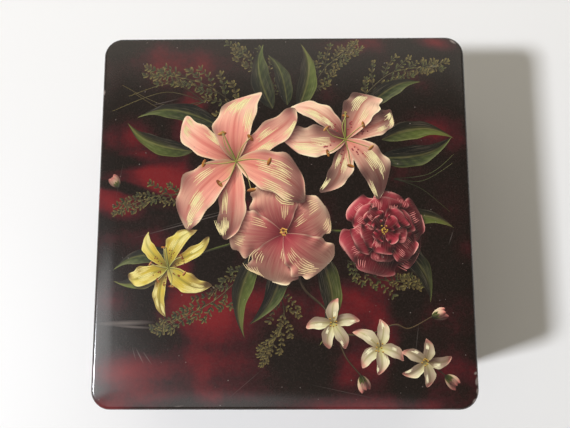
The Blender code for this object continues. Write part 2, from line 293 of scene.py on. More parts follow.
def seen(tree):
    """1 for rays that show the room, straight or mirrored, and 0 for those that light the box."""
    rays = add(tree, "LightPath").outputs
    glossy, transmitted = rays["Is Glossy Ray"], rays["Is Transmission Ray"]
    mirrored = add(tree, "Math", glossy, transmitted, operation="ADD")
    return add(tree, "Math", mirrored, rays["Is Camera Ray"], operation="ADD", use_clamp=True)


def lay_table():
    """A white table, which fades into the tone of the walls far outside the box's shadow."""
    deselect()
    bpy.ops.mesh.primitive_plane_add(size=TABLE_SIZE)
    floor = bpy.context.object
    floor.name = "table"
    table, tree, place = new_material("white_table", base_color=linear("#ECEBE9"), roughness=0.6)
    far = add(tree, "VectorMath", place, operation="LENGTH").outputs["Value"]
    fading = add(tree, "MapRange", far, *TABLE_FADE, interpolation_type="SMOOTHSTEP")
    share = add(tree, "Math", fading, seen(tree), operation="MULTIPLY")
    distance = add(tree, "Emission", color=HORIZON_COLOUR, strength=HORIZON)
    mixed = add(tree, "MixShader", share, tree.nodes["Principled BSDF"], distance)
    tree.links.new(mixed.outputs[0], tree.nodes["Material Output"].inputs["Surface"])
    dress(floor, table)


def hang_lamp(name, spot, size, power, code, sheen):
    """A panel of light aimed at the box."""
    lamp = bpy.data.objects.new(name, bpy.data.lights.new(name, "AREA"))
    scene.collection.objects.link(lamp)
    lamp.data.shape = "RECTANGLE"
    lamp.data.size, lamp.data.size_y = size
    lamp.data.energy = power
    lamp.data.color = linear(code)[:3]
    lamp.location = spot
    aim = Vector((0, 0, LID_RIM)) - Vector(spot)
    lamp.rotation_euler = aim.to_track_quat("-Z", "Y").to_euler()
    lamp.visible_diffuse = not sheen


def light_room():
    """Even light from all round, and pale walls that are only seen and light nothing."""
    scene.world = bpy.data.worlds.new("room")
    scene.world.use_nodes = True
    tree = scene.world.node_tree
    heading = add(tree, "SeparateXYZ", add(tree, "TexCoord").outputs["Generated"]).outputs["Z"]
    bright = HORIZON - ROOM_LIGHT
    walls = add(tree, "MapRange", heading, from_max=WALLS_END, to_min=bright, to_max=0.0)
    shown = add(tree, "Math", walls, seen(tree), operation="MULTIPLY")
    background = tree.nodes["Background"]
    feed(tree, background, {"Color": HORIZON_COLOUR, "Strength": shown})
    room = add(tree, "Background", color=ROOM_COLOUR, strength=ROOM_LIGHT)
    both = add(tree, "AddShader", background, room)
    tree.links.new(both.outputs[0], tree.nodes["World Output"].inputs["Surface"])


lay_table()
for name, panel in LAMPS.items():
    hang_lamp(name, *panel)
light_room()


# Shells

# Share of the wear that the middle of an edge gets, where a corner gets all of it
EDGE_RUB = 0.55


def outer_distance(x, y):
    """Distance of spots inside the box's plan to its rounded outline."""
    over_x = np.abs(x) - (HALF_WIDTH - CORNER_RADIUS)
    over_y = np.abs(y) - (HALF_DEPTH - CORNER_RADIUS)
    outside = np.hypot(np.maximum(over_x, 0), np.maximum(over_y, 0))
    return CORNER_RADIUS - outside - np.minimum(np.maximum(over_x, over_y), 0)


def crown(x, y):
    """Height of the lid's top over its plan: a low crown that rolls down towards the edges."""
    share_x = np.minimum(np.abs(x) / HALF_WIDTH, 1)
    share_y = np.minimum(np.abs(y) / HALF_DEPTH, 1)
    drop = CROWN_RISE * (1 - (1 - share_x**2) * (1 - share_y**2))
    roll = np.clip(1 - (outer_distance(x, y) - EDGE_RADIUS) / ROLL_WIDTH, 0, 1)
    return LID_TOP - PAINT_HEADROOM - drop - ROLL_DROP * roll**2


def block(name, low, high):
    """A block between two corners, its top and bottom divided into cells, left in edit mode."""
    deselect()
    size = Vector(high) - Vector(low)
    middle = (Vector(low) + Vector(high)) / 2
    bpy.ops.mesh.primitive_grid_add(x_subdivisions=SHELL_CELLS, y_subdivisions=SHELL_CELLS, size=1)
    piece = bpy.context.object
    piece.name = name
    piece.scale = (size.x, size.y, 1)
    piece.location = (middle.x, middle.y, high[2])
    bpy.ops.object.transform_apply(location=True, rotation=True, scale=True)
    edit(piece)
    lengthen(-size.z)
    face_outwards()
    pick(
        "EDGE",
        lambda edge: abs(edge.verts[0].co.z - edge.verts[1].co.z) > MM
        and near(abs(edge.verts[0].co.x), HALF_WIDTH)
        and near(abs(edge.verts[0].co.y), HALF_DEPTH),
    )
    bpy.ops.mesh.bevel(offset=CORNER_RADIUS, segments=CORNER_STEPS, affect="EDGES")
    return piece


def pick_level(level, flatness):
    """Selects the faces at a level that lie flat enough."""
    pick(
        "FACE",
        lambda face: near(face.calc_center_median().z, level) and abs(face.normal.z) > flatness,
    )


def hollow(opening, depth):
    """Insets the face at the opening by the wall and sinks it by a depth."""
    pick_level(opening, 0.9)
    bpy.ops.mesh.inset(thickness=WALL, depth=0)
    lengthen(depth)


def round_loop(level, inset, radius, segments):
    """Bevels the loop of edges at a level and an inset from the outline."""

    def on_loop(edge):
        return all(
            near(vert.co.z, level)
            and near(outer_distance(vert.co.x, vert.co.y), inset, LOOP_SLACK)
            for vert in edge.verts
        )

    pick("EDGE", on_loop)
    bpy.ops.mesh.bevel(offset=radius, segments=segments, affect="EDGES")


def mark_rub(piece):
    """Marks how much hands and shelves rub each point: most on the corners, less along edges."""
    places = np.array([vert.co for vert in piece.data.vertices])
    inset = outer_distance(places[:, 0], places[:, 1])
    level = places[:, 2]
    top, foot = level.max() - CROWN_RISE - ROLL_DROP, level.min()
    upright = np.minimum(np.abs(level - top), np.abs(level - foot))
    from_edge = np.hypot(np.maximum(inset, 0), upright)
    corner = np.hypot(HALF_WIDTH - np.abs(places[:, 0]), HALF_DEPTH - np.abs(places[:, 1]))
    share = EDGE_RUB + (1 - EDGE_RUB) * np.exp(-corner / CORNER_RADIUS)
    mark(piece, "rub", np.exp(-from_edge / EDGE_RADIUS) * share)


def close_shell(piece):
    """Ends edit mode with the doubles merged, the faces outwards and the round parts smooth."""
    bpy.ops.mesh.select_all(action="SELECT")
    bpy.ops.mesh.remove_doubles(threshold=MERGE_DISTANCE)
    face_outwards()
    bpy.ops.object.mode_set(mode="OBJECT")
    smooth(piece, SMOOTH_ANGLE)


def finish_shell(piece, body, node, material):
    """Gives a shell even shading, its rub marks, its body and its lacquer."""
    finish_with(piece, "WEIGHTED_NORMAL", keep_sharp=True)
    mark_rub(piece)
    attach(piece, body)
    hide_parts(node)
    dress(piece, material)


def make_lid(material):
    """The moulded lid: a rolled edge, a low crown, and a hollow with a filleted ceiling."""
    top = LID_TOP - PAINT_HEADROOM - CROWN_RISE - ROLL_DROP
    ceiling = LID_TOP - CROWN_RISE - TOP_THICKNESS
    lid = block("lacquered_lid", (*LID_LOW.xy, LID_RIM), (*LID_HIGH.xy, top))
    hollow(LID_RIM, ceiling - LID_RIM)
    round_loop(top, 0, EDGE_RADIUS, EDGE_STEPS)
    round_loop(LID_RIM, 0, RIM_RADIUS, RIM_STEPS)
    round_loop(LID_RIM, WALL, RIM_RADIUS, RIM_STEPS)
    round_loop(ceiling, WALL, CEILING_FILLET, FILLET_STEPS)
    pick_level(top, 0.99)
    for _ in range(ROLL_STEPS):
        bpy.ops.mesh.inset(thickness=ROLL_INSET, depth=0)
    bm = bmesh.from_edit_mesh(lid.data)
    for vert in bm.verts:
        if near(vert.co.z, top):
            vert.co.z = crown(vert.co.x, vert.co.y)
    bmesh.update_edit_mesh(lid.data)
    close_shell(lid)
    finish_shell(lid, "lid", "lid_shell", material)


def make_base(material):
    """The moulded base: an eased foot and rim, and the scallop in the front rim for a thumb."""
    base = block("lacquered_base", (*BASE_LOW.xy, BASE_BOTTOM), (*BASE_HIGH.xy, BASE_RIM))
    hollow(BASE_RIM, BASE_BOTTOM + FLOOR_THICKNESS - BASE_RIM)
    round_loop(BASE_BOTTOM, 0, FOOT_RADIUS, FOOT_STEPS)
    round_loop(BASE_RIM, 0, RIM_RADIUS, RIM_STEPS)
    round_loop(BASE_RIM, WALL, RIM_RADIUS, RIM_STEPS)
    close_shell(base)
    radius = (NOTCH_WIDTH**2 / 4 + NOTCH_DEPTH**2) / (2 * NOTCH_DEPTH)
    deselect()
    bpy.ops.mesh.primitive_cylinder_add(
        vertices=NOTCH_STEPS,
        radius=radius,
        depth=4 * WALL,
        location=(0, -HALF_DEPTH, BASE_RIM - NOTCH_DEPTH + radius),
        rotation=(math.pi / 2, 0, 0),
    )
    disc = bpy.context.object
    finish_with(base, "BOOLEAN", operation="DIFFERENCE", object=disc)
    bpy.data.objects.remove(disc)
    finish_shell(base, "base", "base_shell", material)


# Lacquer of the shells

# The ground, from its black depths to the middle of its crimson clouds
GROUND = [
    (0.0, "#150D08"), (0.2, "#1F0D0A"), (0.4, "#381014"), (0.65, "#5A1218"), (1.0, "#74191D"),
]
# The varnish over lacquer and paint alike
VARNISH = {"coat_weight": 1.0, "coat_roughness": 0.175, "coat_ior": 1.5}
# Crimson clouds of the ground: x, y, reach along, reach across in mm, turn in degrees, strength
CLOUDS = [
    (-83, 44, 18, 16, 0, 0.75), (-51, 50, 16, 20, 0, 0.85), (-65, 20, 36, 18, -8, 1.25),
    (-90, 5, 20, 9, -14, 1.1), (-80, -12, 26, 9, 0, 0.4), (-68, -26, 24, 14, 0, 0.45),
    (-48, 86, 44, 16, 0, 0.45), (-72, 84, 20, 16, 0, 0.2), (38, 97, 30, 8, 0, 0.5),
    (86, 98, 18, 7, -14, 0.8), (82, 47, 26, 16, -8, 0.7), (90, 4, 16, 20, 0, 0.25),
    (55, -30, 22, 16, 0, 0.45), (0, -2, 28, 19, 0, 0.6), (44, -47, 30, 18, 4, 0.6),
    (20, -54, 34, 19, 0, 0.55), (-36, -50, 36, 19, 0, 1.1), (-53, -36, 13, 20, 0, 0.6),
    (-84, -82, 26, 14, 0, 1.05), (-96, -99, 18, 8, 0, 0.5), (-30, -77, 40, 24, 0, 0.6),
    (44, -80, 24, 28, 10, 0.5), (85, -80, 24, 18, 0, 0.45), (34, -101, 50, 9, 0, 0.75),
    (84, -53, 28, 13, 0, 0.35), (98, -18, 11, 9, 0, 0.4), (-40, 2, 18, 46, 0, -1.0),
    (-84, 29, 30, 5, 0, -0.6), (-82, 13, 36, 4, -13, -0.75), (64, -46, 11, 28, 0, -0.6),
    (8, -76, 28, 12, -10, -0.5), (66, -86, 11, 22, 0, -0.4), (-60, -80, 22, 18, 0, 0.35),
    (-93, -46, 15, 14, 0, 0.5), (-74, -95, 26, 9, 0, 0.6), (80, -99, 34, 9, 0, 0.4),
    (-101, 14, 14, 13, 0, 0.6), (-92, -99, 22, 7, 0, 0.25), (-30, -94, 50, 8, 0, 0.3),
]
# Long scratches and rubs in the varnish: x, y, half length, half width in mm, turn, strength
SCRATCHES = [
    (-52, -4, 34, 0.32, 15, 0.5), (-46, -1, 26, 0.22, 15.5, 0.35), (-84, -57, 16, 1.6, 2, 0.55),
    (-80, -59, 12, 0.8, -3, 0.5), (-76, -74, 5, 0.4, 118, 0.5), (-72, -75, 5, 0.35, 126, 0.4),
    (-79, -73, 4, 0.3, 108, 0.4), (-66, 64, 9, 0.35, 14, 0.35), (-70, 61, 6, 0.3, 30, 0.3),
    (90, -12, 5, 0.25, 70, 0.4), (70, -65, 9, 0.2, 82, 0.3), (84, 84, 4, 0.5, 5, 0.3),
    (-20, -88, 14, 0.18, 40, 0.25), (30, -92, 20, 0.18, -12, 0.25), (-90, 20, 12, 0.2, 80, 0.25),
    (100.8, -87, 2.6, 1.3, 78, 2.2), (101.0, -92.5, 2.2, 1.2, 100, 2.0),
    (99.0, -97, 1.8, 1.0, 50, 1.8), (100.2, -83, 1.3, 0.9, 20, 1.6),
    (-100.8, 70, 1.8, 0.9, 85, 1.2), (95.6, 98.6, 2.6, 0.9, -35, 1.3),
    (-97.6, -99.4, 1.2, 0.6, -30, 0.8), (40, 101.2, 1.2, 0.5, 0, 0.7),
    (-55, -99.6, 3.0, 0.35, 5, 0.4),
]


def blots(tree, place, marks):
    """Soft ellipses on the plan, as the sum of one round gradient for each."""
    total = 0.0
    for x, y, reach, breadth, turn, strength in marks:
        middle = (x * MM, y * MM, 0)
        size = (reach * MM, breadth * MM, 1)
        turned = (0, 0, math.radians(turn))
        moved = add(tree, "Mapping", place, middle, turned, size, vector_type="TEXTURE")
        round_one = add(tree, "TexGradient", moved, gradient_type="SPHERICAL").outputs["Fac"]
        total = add(tree, "Math", round_one, strength, total, operation="MULTIPLY_ADD")
    return total


def warped(tree, place, grain, reach):
    """Coordinates that wander by up to the reach, over a grain in metres."""
    noise = add(tree, "TexNoise", place, scale=1 / grain, detail=3.0).outputs["Color"]
    centred = add(tree, "VectorMath", noise, (0.5, 0.5, 0.5), operation="SUBTRACT")
    return add(tree, "VectorMath", centred, (2 * reach,) * 3, place, operation="MULTIPLY_ADD")


def varnish_specks(tree, place):
    """Pale dust and pin-holes in the varnish, in one of four cells of 3.2 mm.

    They are drawn 0.6 mm across, as coarse as they need to show.
    """
    cells = add(tree, "TexVoronoi", place, scale=1 / (3.2 * MM), randomness=1.0).outputs
    speck = add(tree, "MapRange", cells["Distance"], from_min=0.12, from_max=0.05, to_max=0.7)
    chosen = add(tree, "Math", cells["Color"], 0.75, operation="GREATER_THAN")
    return add(tree, "Math", speck, chosen, operation="MULTIPLY")


def lacquer():
    """Spirit lacquer dabbed in crimson and black on papier-mache, under a rubbed varnish.

    The eye sees black-brown depths with crimson clouds in them, a milky sheen, fine scratches
    and dust.
    """
    made, tree, place = new_material(
        "dabbed_spirit_lacquer", roughness=0.6, specular_ior_level=0.05, **VARNISH
    )
    height = add(tree, "SeparateXYZ", place).outputs["Z"]
    # The placed clouds lie on the lid's top; down the sides drifting ones take over
    top = add(tree, "MapRange", height, LID_TOP - 22 * MM, LID_TOP - 7 * MM)
    placed = blots(tree, warped(tree, place, 30 * MM, 4 * MM), CLOUDS)
    clouds = add(tree, "Math", placed, top, operation="MULTIPLY")
    drift = add(tree, "TexNoise", place, scale=1 / (34 * MM), detail=2.5)
    lifted = add(tree, "MapRange", drift, from_min=0.5, from_max=0.75, to_max=0.5)
    beside = add(tree, "MapRange", drift, from_min=0.46, from_max=0.68, to_max=0.95)
    drifting = add(tree, "Mix", top, a=beside, b=lifted, data_type="FLOAT")
    cloudy = add(tree, "Math", clouds, drifting, operation="ADD")
    dabs = add(tree, "TexNoise", place, scale=1 / (2.2 * MM), detail=4.0)
    dabbed = add(tree, "Math", dabs, 0.3, -0.15, operation="MULTIPLY_ADD")
    depth = add(tree, "Math", cloudy, dabbed, operation="ADD")
    colour = add(tree, "ValToRGB", depth, stops=GROUND)
    # Scratches, chips and dust end at the foot of the rounded edge, and leave the sides clean
    upper = add(tree, "MapRange", height, EDGE_FOOT - 2 * MM, EDGE_FOOT)
    scratches, specks = blots(tree, place, SCRATCHES), varnish_specks(tree, place)
    scratched = add(tree, "Math", scratches, upper, operation="MULTIPLY")
    dusty = add(tree, "Math", specks, upper, operation="MULTIPLY")
    marks = add(tree, "Math", scratched, dusty, operation="MAXIMUM", use_clamp=True)
    grain = add(tree, "TexNoise", place, scale=1 / (0.9 * MM), detail=2.0, roughness=0.7)
    film = add(tree, "MapRange", grain, from_min=0.42, from_max=0.8, to_max=0.12)
    rub = add(tree, "Attribute", attribute_name="rub").outputs["Fac"]
    grit = add(tree, "TexNoise", place, scale=1 / (3 * MM), detail=5.0, roughness=0.65)
    gritty = add(tree, "Math", rub, 0.9, grit, operation="MULTIPLY_ADD")
    worn = add(tree, "MapRange", gritty, from_min=1.1, from_max=1.3)
    for share, code in ((film, "#66524E"), (marks, "#8C8079"), (worn, "#6B4A3A")):
        coat = add(tree, "Mix", share=share, under=colour, over=linear(code), data_type="RGBA")
        colour = coat.outputs[MIXED]
    rough = add(tree, "MapRange", dabs, to_min=0.42, to_max=0.6)
    ripple = add(tree, "TexNoise", place, scale=1 / (9 * MM), detail=3.0)
    bump = add(tree, "Bump", height=ripple, strength=0.25, distance=0.1 * MM)
    return set_shader(made, base_color=colour, roughness=rough, normal=bump, coat_normal=bump)


lacquered = lacquer()
make_lid(lacquered)
make_base(lacquered)


# Painted spray: each petal, leaf and stem is a stroke, shaped in the round, then laid flat and lit

PAINT_LIGHT = np.array(Vector((-0.5, 0.62, 0.6)).normalized())
PAINT_GLEAM = "#FFF6E6"
PAINT_BRIGHTEST = 1.12
WARM_SHADE = (1.0, 1.22, 1.16)
AMBER_VARNISH = (0.97, 0.95, 0.87)
# Heights of the film over the ground, from one stroke to the next, and within a stroke
PAINT_LIFT = 0.02 * MM
PAINT_STEP = 0.01 * MM
PAINT_SINK = 0.3 * MM
PAINT_RELIEF = 0.0012
PAINT_ANGLE = 40
DAB_LEVELS = 6
# Below, lengths are in mm: cells in which strokes meet, and where a painted shadow falls
PILE_CELL = 2.5
SHADOW_SHIFTS = (0.7, 1.4, 2.3, 3.4)
SHADOW_SLANT = 0.75
SHADOW_DEPTH = 0.62
SHADOW_TINT = (0.85, 1.05, 1.0)
THINNEST = 0.12
HAIR_GAP = 0.45
HAIR_LENGTH = 9
STREAK_UNIT = 10

strokes = []
draw = random.Random(4)
vary = draw.uniform


def ease(values, low, high):
    share = np.clip((values - low) / (high - low), 0, 1)
    return share * share * (3 - 2 * share)


def blend(first, second, share):
    return first + (second - first) * np.asarray(share)[..., None]


def colour_along(shares, ramp):
    """Colours at shares of the way along a ramp of (share, hex colour) stops."""
    stops, codes = zip(*ramp)
    channels = np.array([paint(code) for code in codes])
    return np.stack([np.interp(shares, stops, channels[:, n]) for n in range(3)], -1)


def lit(colour, facing, shade, gleam):
    """Paint darkened where it faces away from the painted light and lightened where it faces it."""
    facing = facing * np.where(facing[..., 2:] < 0, -1, 1)
    light = np.clip(facing @ PAINT_LIGHT, 0, 1)
    tone = shade + (PAINT_BRIGHTEST - shade) * ease(light, 0.1, 0.95)
    colour = colour * tone[..., None] ** WARM_SHADE
    return blend(colour, paint(PAINT_GLEAM), gleam * ease(light, 0.86, 1.0))


def keep(points, spot, colour, breadth, length, casts):
    """Keeps a stroke: its plan and rise in mm, its colours, and its streaks in tens of mm."""
    rows, columns = colour.shape[:2]
    shift = vary(0, 90)
    across, along = np.meshgrid(np.linspace(0, breadth, columns), np.linspace(0, length, rows))
    strokes.append(
        {
            "plan": points[..., :2] + np.array(spot),
            "rise": points[..., 2],
            "colour": np.clip(colour * AMBER_VARNISH, 0, 1),
            "streaks": np.stack([across / STREAK_UNIT + shift, along / STREAK_UNIT], -1),
            "casts": casts,
        }
    )


def petal(
    spot, turn, length, width, shape, ramp, tilt=(0, 0), lift=0, cup=0, sweep=0, hook=0,
    fold=0, ruffle=0, waves=4, edge=None, rib=None, veins=None, side_veins=None, shade=0.5,
    gleam=0.3, cells=(28, 17), casts=True,
):
    """Paints a petal, leaf, sepal or bud in mm and degrees, and returns its plan.

    The shape's two powers say where it is widest and how round its tip is. Lift and cup bend it
    out of the plan, fold raises its sides, sweep bends it sideways and hook its tip alone. Edge,
    rib and veins each give a colour, a place or count, and a strength.
    """
    rows, columns = cells
    along = (1 - np.cos(np.linspace(0.03, 1, rows) * np.pi)) / 2
    across = np.linspace(-1, 1, columns)
    t, v = np.meshgrid(along, across, indexing="ij")
    slope = np.radians(lift + cup * along)
    steps = np.diff(along, prepend=0) * length
    middle_y = np.cumsum(np.cos(slope) * steps)
    middle_z = np.cumsum(np.sin(slope) * steps)
    rise, fall = shape
    peak = rise / (rise + fall)
    half = width / 2 * (along / peak) ** rise * ((1 - along) / (1 - peak)) ** fall
    half = np.maximum(half, THINNEST)[:, None]
    phase = vary(0, 6)
    wave = np.sin(2 * np.pi * waves * t + phase + 1.9 * np.sign(v))
    wave = wave * ease(t, 0.2, 0.6) * np.abs(v) ** 3
    x = length * (sweep * t**2 + hook * t**6) + half * v * (1 + 0.09 * bool(ruffle) * wave)
    y = middle_y[:, None] + 0 * v
    z = middle_z[:, None] + fold * half * v**2 + ruffle * wave
    tilted = Euler((math.radians(tilt[0]), math.radians(tilt[1]), 0)).to_matrix()
    turned = tilted @ Matrix.Rotation(math.radians(turn - 90), 3, "Z")
    points = np.stack([x, y, z], -1) @ np.array(turned).T
    facing = np.cross(np.gradient(points, axis=1), np.gradient(points, axis=0))
    facing = facing / np.maximum(np.linalg.norm(facing, axis=-1, keepdims=True), 1e-9)
    colour = colour_along(t, ramp)
    if veins:
        code, count, strength = veins
        lines = (0.5 + 0.5 * np.cos(2 * np.pi * count * v * (0.8 + 0.2 * t) + phase)) ** 3
        colour = blend(colour, paint(code), strength * lines * (1 - ease(t, 0.35, 0.95)))
    if side_veins:
        code, count, strength = side_veins
        lines = (0.5 + 0.5 * np.cos(2 * np.pi * (count * t - 1.1 * np.abs(v)))) ** 4
        colour = blend(colour, paint(code), strength * lines * (1 - ease(np.abs(v), 0.8, 1)))
    if edge:
        code, start, strength = edge
        reach = np.maximum(np.abs(v), ease(t, 0.7, 1.0))
        colour = blend(colour, paint(code), strength * ease(reach, start, 1))
    if rib:
        code, breadth, strength = rib
        line = np.exp(-((v * half / breadth) ** 2))
        colour = blend(colour, paint(code), strength * line * (1 - ease(t, 0.7, 1)))
    keep(points, spot, lit(colour, facing, shade, gleam), width, length, casts)
    return points[..., :2] + np.array(spot)


def curve(path, count):
    """Points of a smooth curve through the spots of a path."""
    knots = np.array([path[0], *path, path[-1]], float)
    spans = len(path) - 1
    points = []
    for share in np.linspace(0, spans, count):
        n = min(int(share), spans - 1)
        u = share - n
        a, b, c, d = knots[n : n + 4]
        square, cube = 2 * a - 5 * b + 4 * c - d, 3 * b - a - 3 * c + d
        points.append(0.5 * (2 * b + (c - a) * u + square * u**2 + cube * u**3))
    return np.array(points)


def stem(path, widths, ramp, count=26, shade=0.35, gleam=0.25):
    """Paints a round stem, twig or stamen along a path in mm."""
    middle = curve(path, count)
    ahead = np.gradient(middle, axis=0)
    ahead /= np.linalg.norm(ahead, axis=1, keepdims=True)
    side = np.stack([ahead[:, 1], -ahead[:, 0]], 1)
    columns = 5 if widths[0] > 0.6 else 3
    across = np.linspace(-1, 1, columns)
    half = np.interp(np.linspace(0, 1, count), np.linspace(0, 1, len(widths)), widths) / 2
    plan = middle[:, None] + side[:, None] * (half[:, None] * across)[..., None]
    rise = half[:, None] * np.sqrt(1 - 0.8 * across**2)
    level = np.broadcast_to(np.sqrt(1 - 0.81 * across**2)[None, :, None], (count, columns, 1))
    facing = np.concatenate([side[:, None] * across[None, :, None] * 0.9, level], -1)
    colour = colour_along(np.linspace(0, 1, count)[:, None] + 0 * across, ramp)
    length = np.linalg.norm(np.diff(middle, axis=0), axis=1).sum()
    points = np.concatenate([plan, rise[..., None]], -1)
    keep(points, (0, 0), lit(colour, facing, shade, gleam), widths[0], length, False)


def polar(spot, turn, reach):
    ahead = np.array((math.cos(math.radians(turn)), math.sin(math.radians(turn))))
    return np.array(spot) + reach * ahead


def dot(spot, size, ramp, turn=0, long=1.0, gleam=0.4):
    """Paints a small round dab, such as an anther."""
    start = polar(spot, turn, -size / 2 * long)
    petal(
        start, turn, size * long, size, (0.5, 0.5), ramp, fold=-0.7, cells=(7, 5),
        casts=False, shade=0.55, gleam=gleam,
    )


# Colours of the flowers and leaves, from the foot of each stroke to its tip

SALMON = [
    (0.0, "#8C8F4A"), (0.08, "#C9A27C"), (0.2, "#DE8F82"), (0.45, "#E3978F"), (0.75, "#E8B0A2"),
    (1.0, "#DD8E8C"),
]
SHELL_PINK = [
    (0.0, "#A06A58"), (0.12, "#D88C84"), (0.35, "#E9B3A4"), (0.7, "#EFCBB8"), (1.0, "#E3A49C"),
]
BLUSH = [
    (0.0, "#5E1222"), (0.12, "#9C2F40"), (0.28, "#CC6C6E"), (0.55, "#E0988F"), (0.85, "#EBBCA8"),
    (1.0, "#F0D2BC"),
]
YELLOW = [
    (0.0, "#6E6A24"), (0.18, "#A8922E"), (0.5, "#CAB046"), (0.85, "#DAC870"), (1.0, "#B09C4A"),
]
CRIMSON = [
    (0.0, "#34080F"), (0.3, "#681022"), (0.7, "#921F34"), (0.9, "#B44656"), (1.0, "#D07880"),
]
CREAM = [
    (0.0, "#A8A04E"), (0.14, "#D6CFA0"), (0.5, "#E6DFC6"), (0.8, "#E2CDB6"), (1.0, "#C95A62"),
]
BUD = [(0, "#9C7A58"), (0.5, "#DDC4AC"), (0.8, "#E0A89C"), (1, "#C95A62")]
LEAF = [(0.0, "#252A14"), (0.4, "#414A20"), (0.8, "#5C662E"), (1.0, "#7E8440")]
DARK_LEAF = [(0.0, "#191E13"), (0.5, "#272F1A"), (1.0, "#485128")]
FERN = [(0.0, "#20261A"), (0.5, "#3A4224"), (1.0, "#636638")]
FERN_RIB = [(0, "#3A3520"), (1, "#6D6536")]
STRAW = [(0.0, "#35311B"), (0.6, "#5E5630"), (1.0, "#8C7F48")]
BROWN = [(0.0, "#3F3322"), (0.5, "#5C4A30"), (1.0, "#4E3A28")]
# Looks of the lilies: midrib, edge, veins, light strokes, freckles and anthers
ROSY_LILY = ("#C96A66", "#F3E2C6", "#C05A60", "#F1E2B4", None, "#8A4A22")
PALE_LILY = ("#CC7A70", "#F5E8D0", "#CC7672", "#F3E6BC", "#A8444E", "#8A4A22")
YELLOW_LILY = ("#80762C", "#E6D88E", "#9A8430", "#EADF9C", "#8A3A18", "#8A3A18")


def hatch(plan, clusters, code, breadth):
    """Clusters of short light strokes drawn along a petal, from its plan."""
    rows, columns = plan.shape[:2]
    for _ in range(clusters):
        middle = vary(0.4, 0.78)
        side = draw.choice((-1, 1)) * vary(0.2, 0.7)
        for stroke in range(draw.randint(4, 6)):
            column = (side + 0.1 * stroke + 1) / 2 * (columns - 1)
            left = min(int(column), columns - 2)
            reach = vary(0.05, 0.11)
            start = max(middle - reach + vary(-0.02, 0.02), 0.05)
            shares = np.linspace(start, min(start + 2 * reach, 0.96), 3)
            steps = (shares * (rows - 1)).astype(int)
            path = [
                plan[step, left] * (1 - column + left) + plan[step, left + 1] * (column - left)
                for step in steps
            ]
            stem(path, [0.15, breadth, 0.15], [(0, code), (1, code)], 5, shade=0.9, gleam=0)


def leaf(spot, turn, length, width, sweep, ramp):
    """A pointed leaf, each half lit its own way, with a light midrib and side veins."""
    petal(
        spot, turn, length, width, (0.75, 0.95), ramp, sweep=sweep, hook=sweep * 0.8,
        cup=-10, fold=0.55, ruffle=0.35, waves=2.5, rib=("#949458", 0.3, 0.6),
        side_veins=("#7C8448", 7, 0.28), edge=("#8A8C50", 0.88, 0.4), shade=0.3, gleam=0.18,
        cells=(30, 15),
    )


def mallow(spot, size, turn, tilt, ramp):
    """An open bloom of ruffled petals with a dark eye and a yellow column of stamens."""
    for n in range(5):
        plan = petal(
            spot, turn + 72 * n + vary(-7, 7), size * vary(0.88, 1.06),
            size * vary(0.78, 0.94), (0.9, 0.42), ramp, tilt=tilt, lift=24, cup=-50,
            fold=vary(-0.12, 0.2), ruffle=size * 0.036, waves=vary(3.0, 4.2),
            sweep=vary(-0.12, 0.12), hook=vary(-0.12, 0.12),
            veins=("#B8485A", 6, 0.5), edge=("#F5E2C8", 0.84, 0.75), rib=("#C95A62", 0.8, 0.4),
            shade=0.58, gleam=0.22, cells=(44, 27),
        )
        hatch(plan, 3, "#ECD2AC", 0.45)
    lean = np.array((math.sin(math.radians(tilt[1])), -math.sin(math.radians(tilt[0]))))
    top = np.array(spot) + lean * size * 0.42 + np.array((size * 0.05, size * 0.16))
    path = [spot, (np.array(spot) + top) / 2 + (0.6, 0), top]
    column = [(0, "#B23A48"), (0.5, "#D9A35A"), (1, "#E3C060")]
    stem(path, [size * 0.06, size * 0.05, size * 0.035], column)
    for n in range(26):
        share = vary(0.35, 1.0)
        middle = np.array(spot) * (1 - share) + top * share
        anther = polar(middle, vary(0, 360), size * vary(0.03, 0.065))
        dot(anther, size * 0.034, [(0, "#D0742A"), (1, "#EBD278")])


def lily(spot, size, turn, tilt, ramp, look, broad):
    """Six recurved tepals, three narrow behind three broad and ruffled, with long stamens."""
    rib, edge, veins, light, freckles, anthers = look
    for ring in (0, 1):
        for n in range(3):
            side = turn + 60 * ring + 120 * n + vary(-8, 8)
            bend = draw.choice((-1, 1))
            plan = petal(
                spot, side, size * vary(0.92, 1.08),
                size * broad * (0.66 + 0.34 * ring), (0.82, 0.56), ramp, tilt=tilt, lift=32,
                cup=-76, fold=vary(0.1, 0.3), ruffle=size * (0.014 + 0.02 * ring),
                waves=vary(2.6, 3.6), sweep=bend * vary(0.04, 0.16),
                hook=bend * vary(0.06, 0.22), rib=(rib, size * 0.022, 0.8),
                edge=(edge, 0.8, 0.75), veins=(veins, 4, 0.35), shade=0.4, gleam=0.25,
                cells=(36, 19),
            )
            hatch(plan, 3 + 2 * ring, light, size * 0.013)
            for _ in range(8 if freckles else 0):
                freckle = polar(spot, side + vary(-9, 9), size * vary(0.14, 0.36))
                dot(freckle, size * 0.024, [(0, freckles), (1, freckles)], gleam=0)
    for n in range(6):
        heading = turn + 60 * n
        end = polar(spot, heading + 20 + vary(-8, 8), size * vary(0.3, 0.42))
        path = [spot, polar(spot, heading + 28, size * 0.2), end]
        stem(path, [0.7, 0.5, 0.45], [(0, "#A3A850"), (1, "#D8CF94")], 10)
        dot(end, size * 0.05, [(0, anthers), (1, "#C98A3C")], heading + 90, 2.2)
    tip = polar(spot, turn + 75, size * 0.4)
    stem([spot, tip], [0.9, 0.7], [(0, "#8C9A40"), (1, "#C7C77A")], 8)
    dot(tip, size * 0.05, [(0, "#6A5A30"), (1, "#B99A60")])


